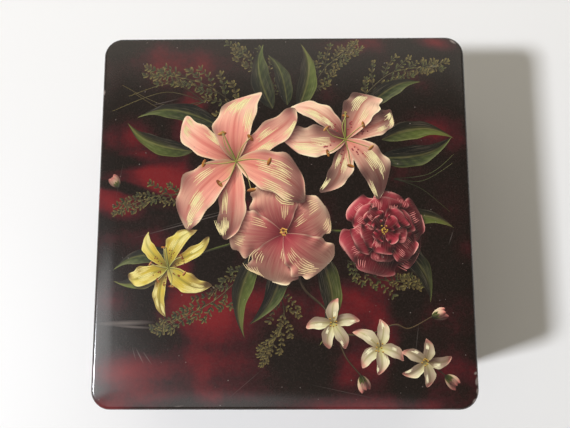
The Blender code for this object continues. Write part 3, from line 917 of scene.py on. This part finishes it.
def peony(spot, size, turn, tilt, ramp):
    """A crimson bloom of cupped, notched petals in rings that grow smaller towards its heart."""
    for count, share in ((6, 1.0), (6, 0.8), (5, 0.58), (4, 0.38)):
        for n in range(count):
            side = turn + 360 / count * n + 31 * share * 10 + vary(-9, 9)
            length = size * share * vary(0.9, 1.08)
            plan = petal(
                spot, side, length, length * vary(0.8, 0.98), (0.9, 0.34), ramp,
                tilt=tilt, lift=12, cup=-40 + 76 * (1 - share), fold=vary(-0.3, -0.05),
                ruffle=size * 0.05, waves=2.6, sweep=vary(-0.1, 0.1),
                edge=("#E3A0A0", 0.88, 0.8), veins=("#C95A68", 5, 0.4), shade=0.34, gleam=0.2,
                cells=(30, 19),
            )
            hatch(plan, 2 if share > 0.5 else 0, "#DB8A8E", 0.4)
    for n in range(12):
        anther = polar(spot, 30 * n, size * vary(0.02, 0.12))
        dot(anther, 0.9, [(0, "#B27A20"), (1, "#E3C468")])


def blossom(spot, size, turn, tilt):
    """A small starry blossom of five pointed cream petals with rosy tips."""
    for n in range(5):
        bend = draw.choice((-1, 1))
        plan = petal(
            spot, turn + 72 * n + vary(-9, 9), size * vary(0.88, 1.12),
            size * 0.48, (0.72, 0.6), CREAM, tilt=tilt, lift=20, cup=-40, sweep=bend * 0.1,
            hook=bend * 0.16, fold=vary(0.1, 0.45), ruffle=size * 0.02, waves=2,
            edge=("#F0E8CC", 0.78, 0.5), rib=("#9C9A5C", 0.45, 0.5), shade=0.62, gleam=0.15,
            cells=(18, 11),
        )
        hatch(plan, 1, "#F2EBD2", 0.35)
    for n in range(7):
        end = polar(spot, turn + 51 * n + vary(-10, 10), size * vary(0.08, 0.2))
        dot(end, 0.95, [(0, "#B27A20"), (1, "#DDBE58")])


def bud(spot, size, turn):
    """A closed bud in its green cup."""
    for n, shift in enumerate((-16, 14, 0)):
        petal(
            spot, turn + shift, size * (1 - 0.06 * n), size * 0.46, (0.7, 0.62), BUD,
            fold=-0.5, edge=("#EBDCC4", 0.8, 0.4), shade=0.42, cells=(12, 8),
        )
    for shift in (-24, 22, 0):
        petal(
            spot, turn + shift, size * 0.5, size * 0.2, (0.6, 0.9), LEAF, fold=-0.3,
            shade=0.35, cells=(8, 5),
        )


def sprig(path, size, twigs, ramp=FERN):
    """A bushy fern: side ribs on both sides of a thin main rib, each set with lobed leaflets."""
    stem(path, [0.6, 0.3], FERN_RIB, 22)
    middle = curve(path, twigs + 1)
    ahead = np.gradient(middle, axis=0)
    for n in range(twigs + 1):
        share = n / twigs
        heading = math.degrees(math.atan2(ahead[n][1], ahead[n][0]))
        hand = 1 if n % 2 else -1
        bend = vary(34, 62) * (1 - 0.75 * share)
        fullness = 0.55 + 0.9 * math.sin(math.pi * min(0.25 + 0.6 * share, 1))
        reach = size * fullness * vary(0.75, 1.2)
        start, knee = middle[n], polar(middle[n], heading + hand * bend, reach * 0.5)
        end = polar(knee, heading + hand * bend * vary(0.4, 0.9), reach * 0.5)
        stem([start, knee, end], [0.35, 0.2], FERN_RIB, 6)
        ribs = curve([start, knee, end], 6)
        for step in range(1, 6):
            along = math.degrees(math.atan2(*(ribs[step] - ribs[step - 1])[::-1]))
            colours = STRAW if draw.random() < 0.25 + 0.5 * share else ramp
            for side in (-1, 1) if step < 5 else (-1, 0, 1):
                petal(
                    ribs[step], along + side * vary(28, 62),
                    vary(1.7, 3.0) * size / 8, vary(0.9, 1.5) * size / 8,
                    (0.6, 0.42), colours, sweep=vary(-0.3, 0.3), fold=0.5, shade=0.3,
                    edge=(STRAW[2][1], 0.7, 0.35), gleam=0.1, cells=(5, 3), casts=False,
                )


def tendrils(spot, reach, turns, ramp=STRAW):
    """Fine grass blades that arch out from a spot."""
    for turn, bend in turns:
        knee = polar(spot, turn, reach * vary(0.45, 0.6))
        end = polar(knee, turn + bend, reach * vary(0.5, 0.7))
        stem([spot, knee, end], [0.55, 0.4, 0.2], ramp, 18)


# The spray, from the ferns at the back to the blooms in front: the function that paints each thing,
# the film that it is part of, and what the function is given. Spots are in mm from the middle.
SPRAY = [
    (sprig, "painted_ferns", [(-22, 58), (-44, 74), (-68, 80)], 9, 15),
    (sprig, "painted_ferns", [(-8, 66), (-12, 80), (-24, 93)], 8, 11),
    (sprig, "painted_ferns", [(44, 66), (60, 80), (82, 84)], 8.5, 13),
    (sprig, "painted_ferns", [(16, 72), (24, 84), (36, 93)], 8, 11),
    (sprig, "painted_ferns", [(-44, 8), (-64, 12), (-84, 6)], 8, 13),
    (sprig, "painted_ferns", [(-20, -30), (-38, -46), (-62, -58)], 8.5, 15),
    (sprig, "painted_ferns", [(-2, -40), (0, -56), (-8, -70)], 8, 11, STRAW),
    (sprig, "painted_ferns", [(34, -24), (50, -34), (70, -36)], 8, 13),
    (tendrils, "painted_ferns", (-44, 64), 44, [(166, 34), (150, 46), (184, -30), (196, -44)]),
    (tendrils, "painted_ferns", (60, 20), 34, [(-4, 34), (8, 30), (-20, -20)], FERN),
    (leaf, "painted_leaves", (-6, 60), 118, 36, 12, 0.2, DARK_LEAF),
    (leaf, "painted_leaves", (2, 62), 94, 30, 9, -0.16, DARK_LEAF),
    (leaf, "painted_leaves", (8, 60), 64, 35, 11, -0.24, LEAF),
    (leaf, "painted_leaves", (-36, 50), 150, 42, 11, -0.24, DARK_LEAF),
    (leaf, "painted_leaves", (-50, 36), 176, 38, 10, 0.2, LEAF),
    (leaf, "painted_leaves", (54, 42), 26, 36, 11, 0.26, LEAF),
    (leaf, "painted_leaves", (52, 32), -4, 40, 12, -0.2, DARK_LEAF),
    (leaf, "painted_leaves", (46, 60), 46, 32, 10, 0.2, DARK_LEAF),
    (leaf, "painted_leaves", (2, -12), -96, 48, 12, 0.18, DARK_LEAF),
    (leaf, "painted_leaves", (-12, -18), -124, 44, 11, -0.24, LEAF),
    (leaf, "painted_leaves", (18, -18), -64, 46, 12, 0.26, LEAF),
    (leaf, "painted_leaves", (-64, -28), -142, 26, 9, 0.24, LEAF),
    (leaf, "painted_leaves", (-58, -22), 170, 32, 9, -0.22, DARK_LEAF),
    (leaf, "painted_leaves", (60, -14), -38, 34, 11, 0.24, DARK_LEAF),
    (leaf, "painted_leaves", (56, -2), 12, 34, 9, 0.2, LEAF),
    (stem, "painted_stems", [(-4, 0), (-20, -12), (-44, -20), (-58, -26)], [1.6, 1.3, 1.0], LEAF),
    (stem, "painted_stems", [(4, 0), (24, -8), (44, -8)], [1.6, 1.4], LEAF),
    (
        stem,
        "painted_twig",
        [(6, -20), (10, -38), (22, -50), (28, -62), (44, -64), (52, -72), (70, -74), (84, -84)],
        [1.6, 1.3, 1.1, 0.8, 0.6],
        BROWN,
        60,
    ),
    (stem, "painted_twig", [(28, -62), (32, -74), (40, -84)], [1.0, 0.7], BROWN),
    (stem, "painted_twig", [(44, -64), (58, -58), (66, -60), (78, -54)], [0.9, 0.6], BROWN),
    (lily, "painted_yellow_lily", (-62, -28), 27, 24, (-16, -22), YELLOW, YELLOW_LILY, 0.4),
    (peony, "painted_peony", (54, -8), 24, 14, (-12, 18), CRIMSON),
    (mallow, "painted_mallow", (0, -10), 31, 30, (16, -8), BLUSH),
    (lily, "painted_pale_lily", (34, 42), 38, 14, (-20, 16), SHELL_PINK, PALE_LILY, 0.5),
    (lily, "painted_rosy_lily", (-26, 30), 45, 40, (-10, -14), SALMON, ROSY_LILY, 0.52),
    (bud, "painted_blossoms", (84, -84), 9, -40),
    (bud, "painted_blossoms", (78, -54), 9, 18),
    (bud, "painted_blossoms", (40, -84), 9, -70),
    (blossom, "painted_blossoms", (26, -57), 14, 22, (14, -12)),
    (blossom, "painted_blossoms", (50, -70), 14.5, 60, (-12, 14)),
    (blossom, "painted_blossoms", (74, -77), 13, 0, (16, 12)),
    (bud, "painted_stems", (-90, 16), 8, 130),
]


def pile_strokes():
    """Gives each stroke its level over the broad ones that it crosses. Small dabs share a few."""
    broad, dabs = {}, {}
    for number, stroke in enumerate(strokes):
        places = np.floor(stroke["plan"].reshape(-1, 2) / PILE_CELL).astype(int)
        cells = {tuple(cell) for cell in places}
        below = max(broad.get(cell, 0) for cell in cells)
        if stroke["casts"]:
            stroke["level"] = 1 + max(below, *(dabs.get(cell, 0) for cell in cells))
            broad.update((cell, stroke["level"]) for cell in cells)
        else:
            stroke["level"] = below + 0.5 + number % DAB_LEVELS / DAB_LEVELS
            dabs.update((cell, max(dabs.get(cell, 0), stroke["level"])) for cell in cells)


def inside(spots, outline):
    """Whether each spot lies inside a closed outline."""
    x, y = spots[:, :1], spots[:, 1:]
    start, end = outline, np.roll(outline, -1, 0)
    crosses = (start[:, 1] > y) != (end[:, 1] > y)
    height = np.where(end[:, 1] == start[:, 1], 1, end[:, 1] - start[:, 1])
    reach = start[:, 0] + (y - start[:, 1]) * (end[:, 0] - start[:, 0]) / height
    return (crosses & (x < reach)).sum(1) % 2 == 1


def apart(stroke, other, margin):
    """Whether two strokes lie further from each other than the margin."""
    above = other["low"] > stroke["high"] + margin
    below = other["high"] < stroke["low"] - margin
    return above.any() or below.any()


def paint_shadows():
    """Darkens each stroke where a later one lies up and to the left of it, as its shadow."""
    for stroke in strokes:
        plan = stroke["plan"]
        rim = [plan[0], plan[1:, -1], plan[-1, -2::-1], plan[-2:0:-1, 0]]
        stroke["outline"] = np.concatenate(rim)
        stroke["low"], stroke["high"] = plan.min((0, 1)), plan.max((0, 1))
    margin = max(SHADOW_SHIFTS)
    for number, stroke in enumerate(strokes):
        spots = stroke["plan"].reshape(-1, 2)
        dark = np.zeros(len(spots))
        for other in strokes[number + 1 :]:
            if not other["casts"] or apart(stroke, other, margin):
                continue
            cast = sum(
                inside(spots + (-shift * SHADOW_SLANT, shift), other["outline"])
                for shift in SHADOW_SHIFTS
            )
            dark = np.maximum(dark, cast / len(SHADOW_SHIFTS))
        dark = dark.reshape(stroke["plan"].shape[:2])
        shade = 1 - SHADOW_DEPTH * dark[..., None] * np.array(SHADOW_TINT)
        stroke["colour"] = stroke["colour"] * shade


blank_sheets = {}


def blank_sheet(rows, columns):
    """A flat grid for strokes of this many points, modelled once for each size."""
    if (rows, columns) not in blank_sheets:
        deselect()
        bpy.ops.mesh.primitive_grid_add(
            x_subdivisions=columns - 1, y_subdivisions=rows - 1, size=1
        )
        sheet = bpy.context.object
        blank_sheets[rows, columns] = sheet.data
        bpy.data.objects.remove(sheet)
    return blank_sheets[rows, columns]


def lay_stroke(stroke):
    """One stroke as a sheet that follows the crown, with its colours and its streak coordinates."""
    mesh = blank_sheet(*stroke["rise"].shape).copy()
    plan = stroke["plan"].reshape(-1, 2) * MM
    rise = stroke["rise"].reshape(-1) * MM * PAINT_RELIEF
    rise = np.clip(rise, -PAINT_STEP / 3, PAINT_STEP / 3)
    height = crown(plan[:, 0], plan[:, 1]) + PAINT_LIFT + stroke["level"] * PAINT_STEP + rise
    mesh.vertices.foreach_set("co", np.column_stack([plan, height]).astype(np.float32).ravel())
    bright = to_linear(stroke["colour"].reshape(-1, 3))
    tints = np.column_stack([bright, np.ones(len(bright))]).astype(np.float32)
    attribute = mesh.attributes.new("paint", "FLOAT_COLOR", "POINT")
    attribute.data.foreach_set("color", tints.ravel())
    corners = np.empty(len(mesh.loops), np.int32)
    mesh.loops.foreach_get("vertex_index", corners)
    streaks = stroke["streaks"].reshape(-1, 2)[corners].astype(np.float32)
    mesh.uv_layers[0].name = "streaks"
    mesh.uv_layers[0].uv.foreach_set("vector", streaks.ravel())
    sheet = bpy.data.objects.new(stroke["motif"], mesh)
    scene.collection.objects.link(sheet)
    return sheet


def lay_paint(motif, material):
    """Lays the strokes of one motif on the lid and joins them into a film."""
    film = join([lay_stroke(stroke) for stroke in strokes if stroke["motif"] == motif], motif)
    film.data.name = motif
    edit(film)
    bpy.ops.mesh.normals_make_consistent(inside=False)
    bm = bmesh.from_edit_mesh(film.data)
    for face in bm.faces:
        if face.normal.z < 0:
            face.normal_flip()
    bmesh.update_edit_mesh(film.data)
    bpy.ops.object.mode_set(mode="OBJECT")
    finish_with(film, "SOLIDIFY", thickness=PAINT_SINK, offset=-1.0)
    smooth(film, PAINT_ANGLE)
    dress(film, material)
    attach(film, "lid")


def painted():
    """Oil paint laid in fine strokes under the same varnish.

    The eye sees streaks along each petal, coarser than real brush marks, with a slight tooth.
    """
    made, tree, place = new_material(
        "varnished_oil_paint", roughness=0.6, specular_ior_level=0.15, **VARNISH
    )
    colour = add(tree, "Attribute", attribute_name="paint").outputs["Color"]
    density = (STREAK_UNIT / HAIR_GAP, STREAK_UNIT / HAIR_LENGTH, 1)
    hairs = add(tree, "Mapping", add(tree, "UVMap", uv_map="streaks"), scale=density)
    bristle = add(tree, "TexNoise", hairs, scale=1.0, detail=3.0, roughness=0.6)
    lighter = add(tree, "MapRange", bristle, from_min=0.52, from_max=0.78, to_max=0.4)
    darker = add(tree, "MapRange", bristle, from_min=0.46, from_max=0.24, to_max=0.45)
    scratches, specks = blots(tree, place, SCRATCHES), varnish_specks(tree, place)
    marks = add(tree, "Math", scratches, specks, operation="MAXIMUM", use_clamp=True)
    for share, way, code in (
        (lighter, "SCREEN", "#8A7A66"), (darker, "MULTIPLY", "#A8786C"), (marks, "MIX", "#9C9088"),
    ):
        coat = add(tree, "Mix", share=share, under=colour, over=linear(code), data_type="RGBA")
        coat.blend_type = way
        colour = coat.outputs[MIXED]
    tooth = add(tree, "Bump", height=bristle, strength=0.2, distance=0.1 * MM)
    return set_shader(made, base_color=colour, normal=tooth)


for paint_one, motif, *settings in SPRAY:
    painted_before = len(strokes)
    paint_one(*settings)
    for stroke in strokes[painted_before:]:
        stroke["motif"] = motif
pile_strokes()
paint_shadows()
oils = painted()
for motif in sorted({stroke["motif"] for stroke in strokes}):
    lay_paint(motif, oils)


# Quilted pads: satin over wadding on a card, stitched down along crossing diagonals

TUFTS = 5
CELLS_PER_TUFT = 12
SIDE_RINGS = 3
PAD_CORNER = 4.8 * MM
PAD_EDGE_HEIGHT = 2.6 * MM
PAD_SEAM_HEIGHT = 3.8 * MM
PAD_EDGE_WIDTH = 7 * MM
PAD_BULGE = 0.6 * MM
# Each ring of the sides, from the edge down: its share of the edge's height and of the bulge
RING_HEIGHTS = np.array((1, 0.62, 0.25, 0))
RING_BULGES = np.array((0, 1, 0.7, 0))
SWELL_POWER = 0.62
PUFF_SHARE = 0.72
SEAM_BREADTH = 0.16
SEWN_PUFF = 0.08
SEWN_EDGE = 0.5 * MM
# The cloth that swells: its settings, and how much of its movement the pad takes
CLOTH = {
    "quality": 5,
    "mass": 0.1,
    "tension_stiffness": 12,
    "compression_stiffness": 12,
    "shear_stiffness": 4,
    "bending_stiffness": 0.2,
    "shrink_min": -0.05,
    "use_pressure": True,
    "uniform_pressure_force": 4,
    "vertex_group_mass": "sewn",
}
CLOTH_FRAMES = 20
CLOTH_CAP = 2.4 * MM
CLOTH_SHARE = 0.6
PAD_YIELD = 1.4 * MM
TUFT_RADIUS = 1.7 * MM
TUFT_FLATNESS = 0.5
TUFT_RISE = 0.2 * MM


def swell(x, y, pitch):
    """Share of the full swell between the stitched diagonals: all of it at a diamond's middle."""
    ways = np.abs(np.cos(np.pi * (x + y) / pitch)) * np.abs(np.cos(np.pi * (x - y) / pitch))
    return ways**SWELL_POWER


def settle(pad):
    """Lets the satin swell by air pressure between its stitches, and keeps the last frame."""
    choose(pad)
    modifier = pad.modifiers.new("Cloth", "CLOTH")
    for name, value in CLOTH.items():
        setattr(modifier.settings, name, value)
    modifier.settings.effector_weights.gravity = 0
    modifier.point_cache.frame_start, modifier.point_cache.frame_end = 1, CLOTH_FRAMES
    for number in range(1, CLOTH_FRAMES + 1):
        scene.frame_set(number)
    bpy.ops.object.modifier_apply(modifier=modifier.name)
    scene.frame_set(1)


def pad_sheet(name, half, step):
    """A poked grid with its sides in rings below it, closed underneath."""
    cells = TUFTS * CELLS_PER_TUFT
    deselect()
    bpy.ops.mesh.primitive_grid_add(x_subdivisions=cells, y_subdivisions=cells, size=2 * half)
    pad = bpy.context.object
    pad.name = name
    edit(pad)
    bpy.ops.mesh.poke()
    pick("EDGE", lambda edge: edge.is_boundary)
    for _ in range(SIDE_RINGS):
        lengthen(-step)
    bpy.ops.mesh.fill(use_beauty=True)
    face_outwards()
    bpy.ops.object.mode_set(mode="OBJECT")
    return pad


def sew(pad, half, full, step, pitch):
    """Shapes a pad's sheet over its wadding, marks its seams, and returns its places."""
    places = np.array([vert.co for vert in pad.data.vertices])
    x, y, level = places.T
    ring = np.round(-level / step).astype(int)
    reach = half - np.maximum(np.abs(x), np.abs(y))
    over = np.maximum(np.abs(places[:, :2]) - (half - PAD_CORNER), 0)
    far = np.hypot(*over.T)
    pull = np.where(far > 0, np.maximum(over.max(1), 1e-9) / np.maximum(far, 1e-9), 1)
    square = np.minimum(np.abs(places[:, :2]), half - PAD_CORNER)
    plan = np.sign(places[:, :2]) * (square + over * pull[:, None])
    plan = plan * (1 + RING_BULGES[ring] * PAD_BULGE / half)[:, None]
    puff = swell(x, y, pitch)
    dome = 1 - (1 - np.clip(reach / PAD_EDGE_WIDTH, 0, 1)) ** 2
    rise = PAD_SEAM_HEIGHT - PAD_EDGE_HEIGHT + (full - PAD_SEAM_HEIGHT) * PUFF_SHARE * puff
    sides = RING_HEIGHTS[ring] * PAD_EDGE_HEIGHT
    level = np.where(ring > 0, sides, PAD_EDGE_HEIGHT + dome * rise)
    start = np.column_stack([plan, level])
    pad.data.vertices.foreach_set("co", start.astype(np.float32).ravel())
    mark(pad, "seam", np.exp(-((puff / SEAM_BREADTH) ** 2)))
    sewn = (puff < SEWN_PUFF) | (ring > 0) | (reach < SEWN_EDGE)
    group = pad.vertex_groups.new(name="sewn")
    group.add([int(n) for n in np.flatnonzero(sewn)], 1.0, "REPLACE")
    return start


def make_pad(name, node, body, facing):
    """A quilted pad facing up or down: a sheet sewn along its diagonals, blown up and smoothed."""
    low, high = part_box(node)
    half, full = high.x - PAD_BULGE, high.z - low.z
    back = low.z if facing > 0 else high.z
    pitch = 2 * half / TUFTS
    step = full / (SIDE_RINGS + 1)
    pad = pad_sheet(name, half, step)
    start = sew(pad, half, full, step, pitch)
    settle(pad)
    shift = np.array([vert.co for vert in pad.data.vertices]) - start
    length = np.maximum(np.linalg.norm(shift, axis=1, keepdims=True), 1e-9)
    moved = start + CLOTH_SHARE * shift * np.minimum(1, CLOTH_CAP / length)
    # The highest swells flatten softly as they near the pad's full height
    knee = full - PAD_YIELD
    eased = knee + PAD_YIELD * np.tanh((moved[:, 2] - knee) / PAD_YIELD)
    moved[:, 2] = np.maximum(np.where(moved[:, 2] > knee, eased, moved[:, 2]), 0)
    moved = moved * (1, facing, facing) + (0, 0, back)
    pad.data.vertices.foreach_set("co", moved.astype(np.float32).ravel())
    finish_with(pad, "SUBSURF", levels=1, render_levels=1)
    choose(pad)
    bpy.ops.object.shade_smooth()
    dress(pad, satin)
    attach(pad, body)
    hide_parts(node)
    make_tufts(name + "_tufts", pitch, back, facing, body)


def make_tufts(name, pitch, back, facing, body):
    """Small covered buttons where the diagonals cross, one modelled and the rest copied."""
    deselect()
    bpy.ops.mesh.primitive_uv_sphere_add(segments=14, ring_count=8, radius=TUFT_RADIUS)
    bpy.ops.transform.resize(value=(1, 1, TUFT_FLATNESS))
    bpy.ops.object.transform_apply(location=True, rotation=True, scale=True)
    button = bpy.context.object
    button.name = name
    level = back + facing * (PAD_SEAM_HEIGHT + TUFT_RISE)
    copies = []
    for i in range(-TUFTS + 1, TUFTS):
        for j in range(-TUFTS + 1, TUFTS):
            if (i + j) % 2:
                copy = button.copy()
                copy.data = button.data.copy()
                scene.collection.objects.link(copy)
                copy.data.transform(Matrix.Translation((i * pitch / 2, j * pitch / 2, level)))
                copies.append(copy)
    bpy.data.objects.remove(button)
    tufts = join(copies, name)
    bpy.ops.object.shade_smooth()
    dress(tufts, satin)
    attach(tufts, body)


def champagne_satin():
    """Silk satin gone from white to champagne.

    The eye sees a smooth bright weave, soft along the threads, with painted shade and soiling in
    the seams.
    """
    made, tree, place = new_material(
        "champagne_silk_satin", sheen_weight=0.3, sheen_roughness=0.35, anisotropic=0.5
    )
    stain = add(tree, "TexNoise", place, scale=1 / (45 * MM), detail=1.5)
    shades = [(0.3, "#C8AE84"), (0.55, "#D8C29C"), (0.8, "#E0CFAE")]
    tone = add(tree, "ValToRGB", stain, stops=shades)
    seam = add(tree, "Attribute", attribute_name="seam").outputs["Fac"]
    # Painted shade: the satin darkens brown along the stitched seams, where the creases lie in
    # shade, together with soiling
    seam_shade_and_soil = add(tree, "Math", seam, 0.5, operation="MULTIPLY")
    shaded_and_soiled = add(tree, "Mix", share=seam_shade_and_soil, under=tone, over=linear("#8A6E46"), data_type="RGBA")
    # Threads 0.3 mm apart, coarser than real silk so that they show. At a scale of 1 this texture
    # has 20 / (2 pi) bands to the metre.
    threads = add(
        tree, "TexWave", place, scale=2 * math.pi / 20 / (0.3 * MM), distortion=0.6, detail=2.0,
        bands_direction="Y",
    ).outputs["Fac"]
    woven = add(
        tree, "Mix", share=threads, under=shaded_and_soiled.outputs[MIXED], over=linear("#E6DCC8"),
        data_type="RGBA", blend_type="MULTIPLY",
    )
    rough = add(tree, "MapRange", stain, to_min=0.24, to_max=0.38)
    # Puckers run out from the stitches, and fade where the satin is stretched over the wadding
    creases = add(tree, "TexNoise", place, scale=1 / (3 * MM), detail=3.0, distortion=0.8)
    gathered = add(tree, "Math", seam, 0.85, 0.15, operation="MULTIPLY_ADD")
    centred = add(tree, "Math", creases, 0.5, operation="SUBTRACT")
    puckers = add(tree, "Math", centred, gathered, operation="MULTIPLY")
    soft = add(tree, "Bump", height=puckers, strength=0.35, distance=0.6 * MM)
    fine = add(tree, "Bump", height=threads, normal=soft, strength=0.25, distance=0.04 * MM)
    return set_shader(made, base_color=woven.outputs[MIXED], roughness=rough, normal=fine)


def lining_paper():
    """Cream paper pasted over board, foxed with age: matt, with fibres and small brown spots."""
    made, tree, place = new_material("foxed_lining_paper", roughness=0.82)
    blotch = add(tree, "TexNoise", place, scale=1 / (22 * MM), detail=5.0, roughness=0.6)
    shades = [(0.25, "#B79F74"), (0.5, "#CDB98F"), (0.75, "#D9C8A2")]
    tone = add(tree, "ValToRGB", blotch, stops=shades)
    spots = add(tree, "TexVoronoi", place, scale=1 / (7 * MM)).outputs["Distance"]
    fox = add(tree, "MapRange", spots, from_min=0.16, from_max=0.04, to_max=0.55)
    foxed = add(tree, "Mix", share=fox, under=tone, over=linear("#8A6238"), data_type="RGBA")
    fibres = add(tree, "TexNoise", place, scale=1 / (0.6 * MM), detail=3.0)
    tooth = add(tree, "Bump", height=fibres, strength=0.4, distance=0.05 * MM)
    return set_shader(made, base_color=foxed.outputs[MIXED], normal=tooth)


def pasteboard():
    """Grey-brown pasteboard of rag and straw: matt, flecked with fibres."""
    made, tree, place = new_material("straw_pasteboard", roughness=0.9)
    flecks = add(tree, "TexNoise", place, scale=1 / (1.2 * MM), detail=6.0, roughness=0.7)
    shades = [(0.3, "#6E5E44"), (0.5, "#8F7D5E"), (0.7, "#A8977A")]
    tone = add(tree, "ValToRGB", flecks, stops=shades)
    tooth = add(tree, "Bump", height=flecks, strength=0.5, distance=0.08 * MM)
    return set_shader(made, base_color=tone, normal=tooth)


def wool_baize():
    """Green wool baize glued to the foot: a matt, fuzzy nap, rubbed pale where the box slides."""
    made, tree, place = new_material("green_wool_baize", roughness=0.95, sheen_weight=0.4)
    nap = add(tree, "TexNoise", place, scale=1 / (0.9 * MM), detail=6.0, roughness=0.75)
    rubbed = add(tree, "TexNoise", place, scale=1 / (40 * MM), detail=3.0)
    both = add(tree, "Math", rubbed, 0.5, nap, operation="MULTIPLY_ADD")
    shades = [(0.55, "#23371F"), (0.75, "#355032"), (0.95, "#5A7050")]
    tone = add(tree, "ValToRGB", both, stops=shades)
    fuzz = add(tree, "Bump", height=nap, strength=0.8, distance=0.2 * MM)
    return set_shader(made, base_color=tone, normal=fuzz)


def old_brass():
    """Rolled sheet brass, tarnished brown in the hollows and rubbed bright where fingers touch."""
    made, tree, place = new_material("tarnished_sheet_brass", metallic=1.0)
    tarnish = add(tree, "TexNoise", place, scale=1 / (11 * MM), detail=6.0, roughness=0.6)
    shades = [(0.3, "#7C6134"), (0.48, "#A98748"), (0.66, "#C9A661")]
    tone = add(tree, "ValToRGB", tarnish, stops=shades)
    rough = add(tree, "MapRange", tarnish, 0.35, 0.65, 0.44, 0.22)
    # Rolling lines 0.25 mm apart along the leaves, coarser than real ones so that they show
    lines = add(tree, "Mapping", place, scale=(1 / (8 * MM), 1 / (0.25 * MM), 1 / (0.25 * MM)))
    rolled = add(tree, "TexNoise", lines, scale=1.0, detail=2.0)
    grain = add(tree, "Bump", height=rolled, strength=0.25, distance=0.02 * MM)
    return set_shader(made, base_color=tone, roughness=rough, normal=grain)


satin = champagne_satin()
make_pad("quilted_floor_pad", "floor_pad", "base", 1)
make_pad("quilted_lid_pad", "lid_pad", "lid", -1)

finishes = {
    "lining_paper": lining_paper(),
    "card": pasteboard(),
    "baize": wool_baize(),
    "brass": old_brass(),
}
for name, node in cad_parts.items():
    slot = node.data.materials[0].name if node.data.materials else ""
    if slot in finishes:
        node.data.materials[0] = finishes[slot]
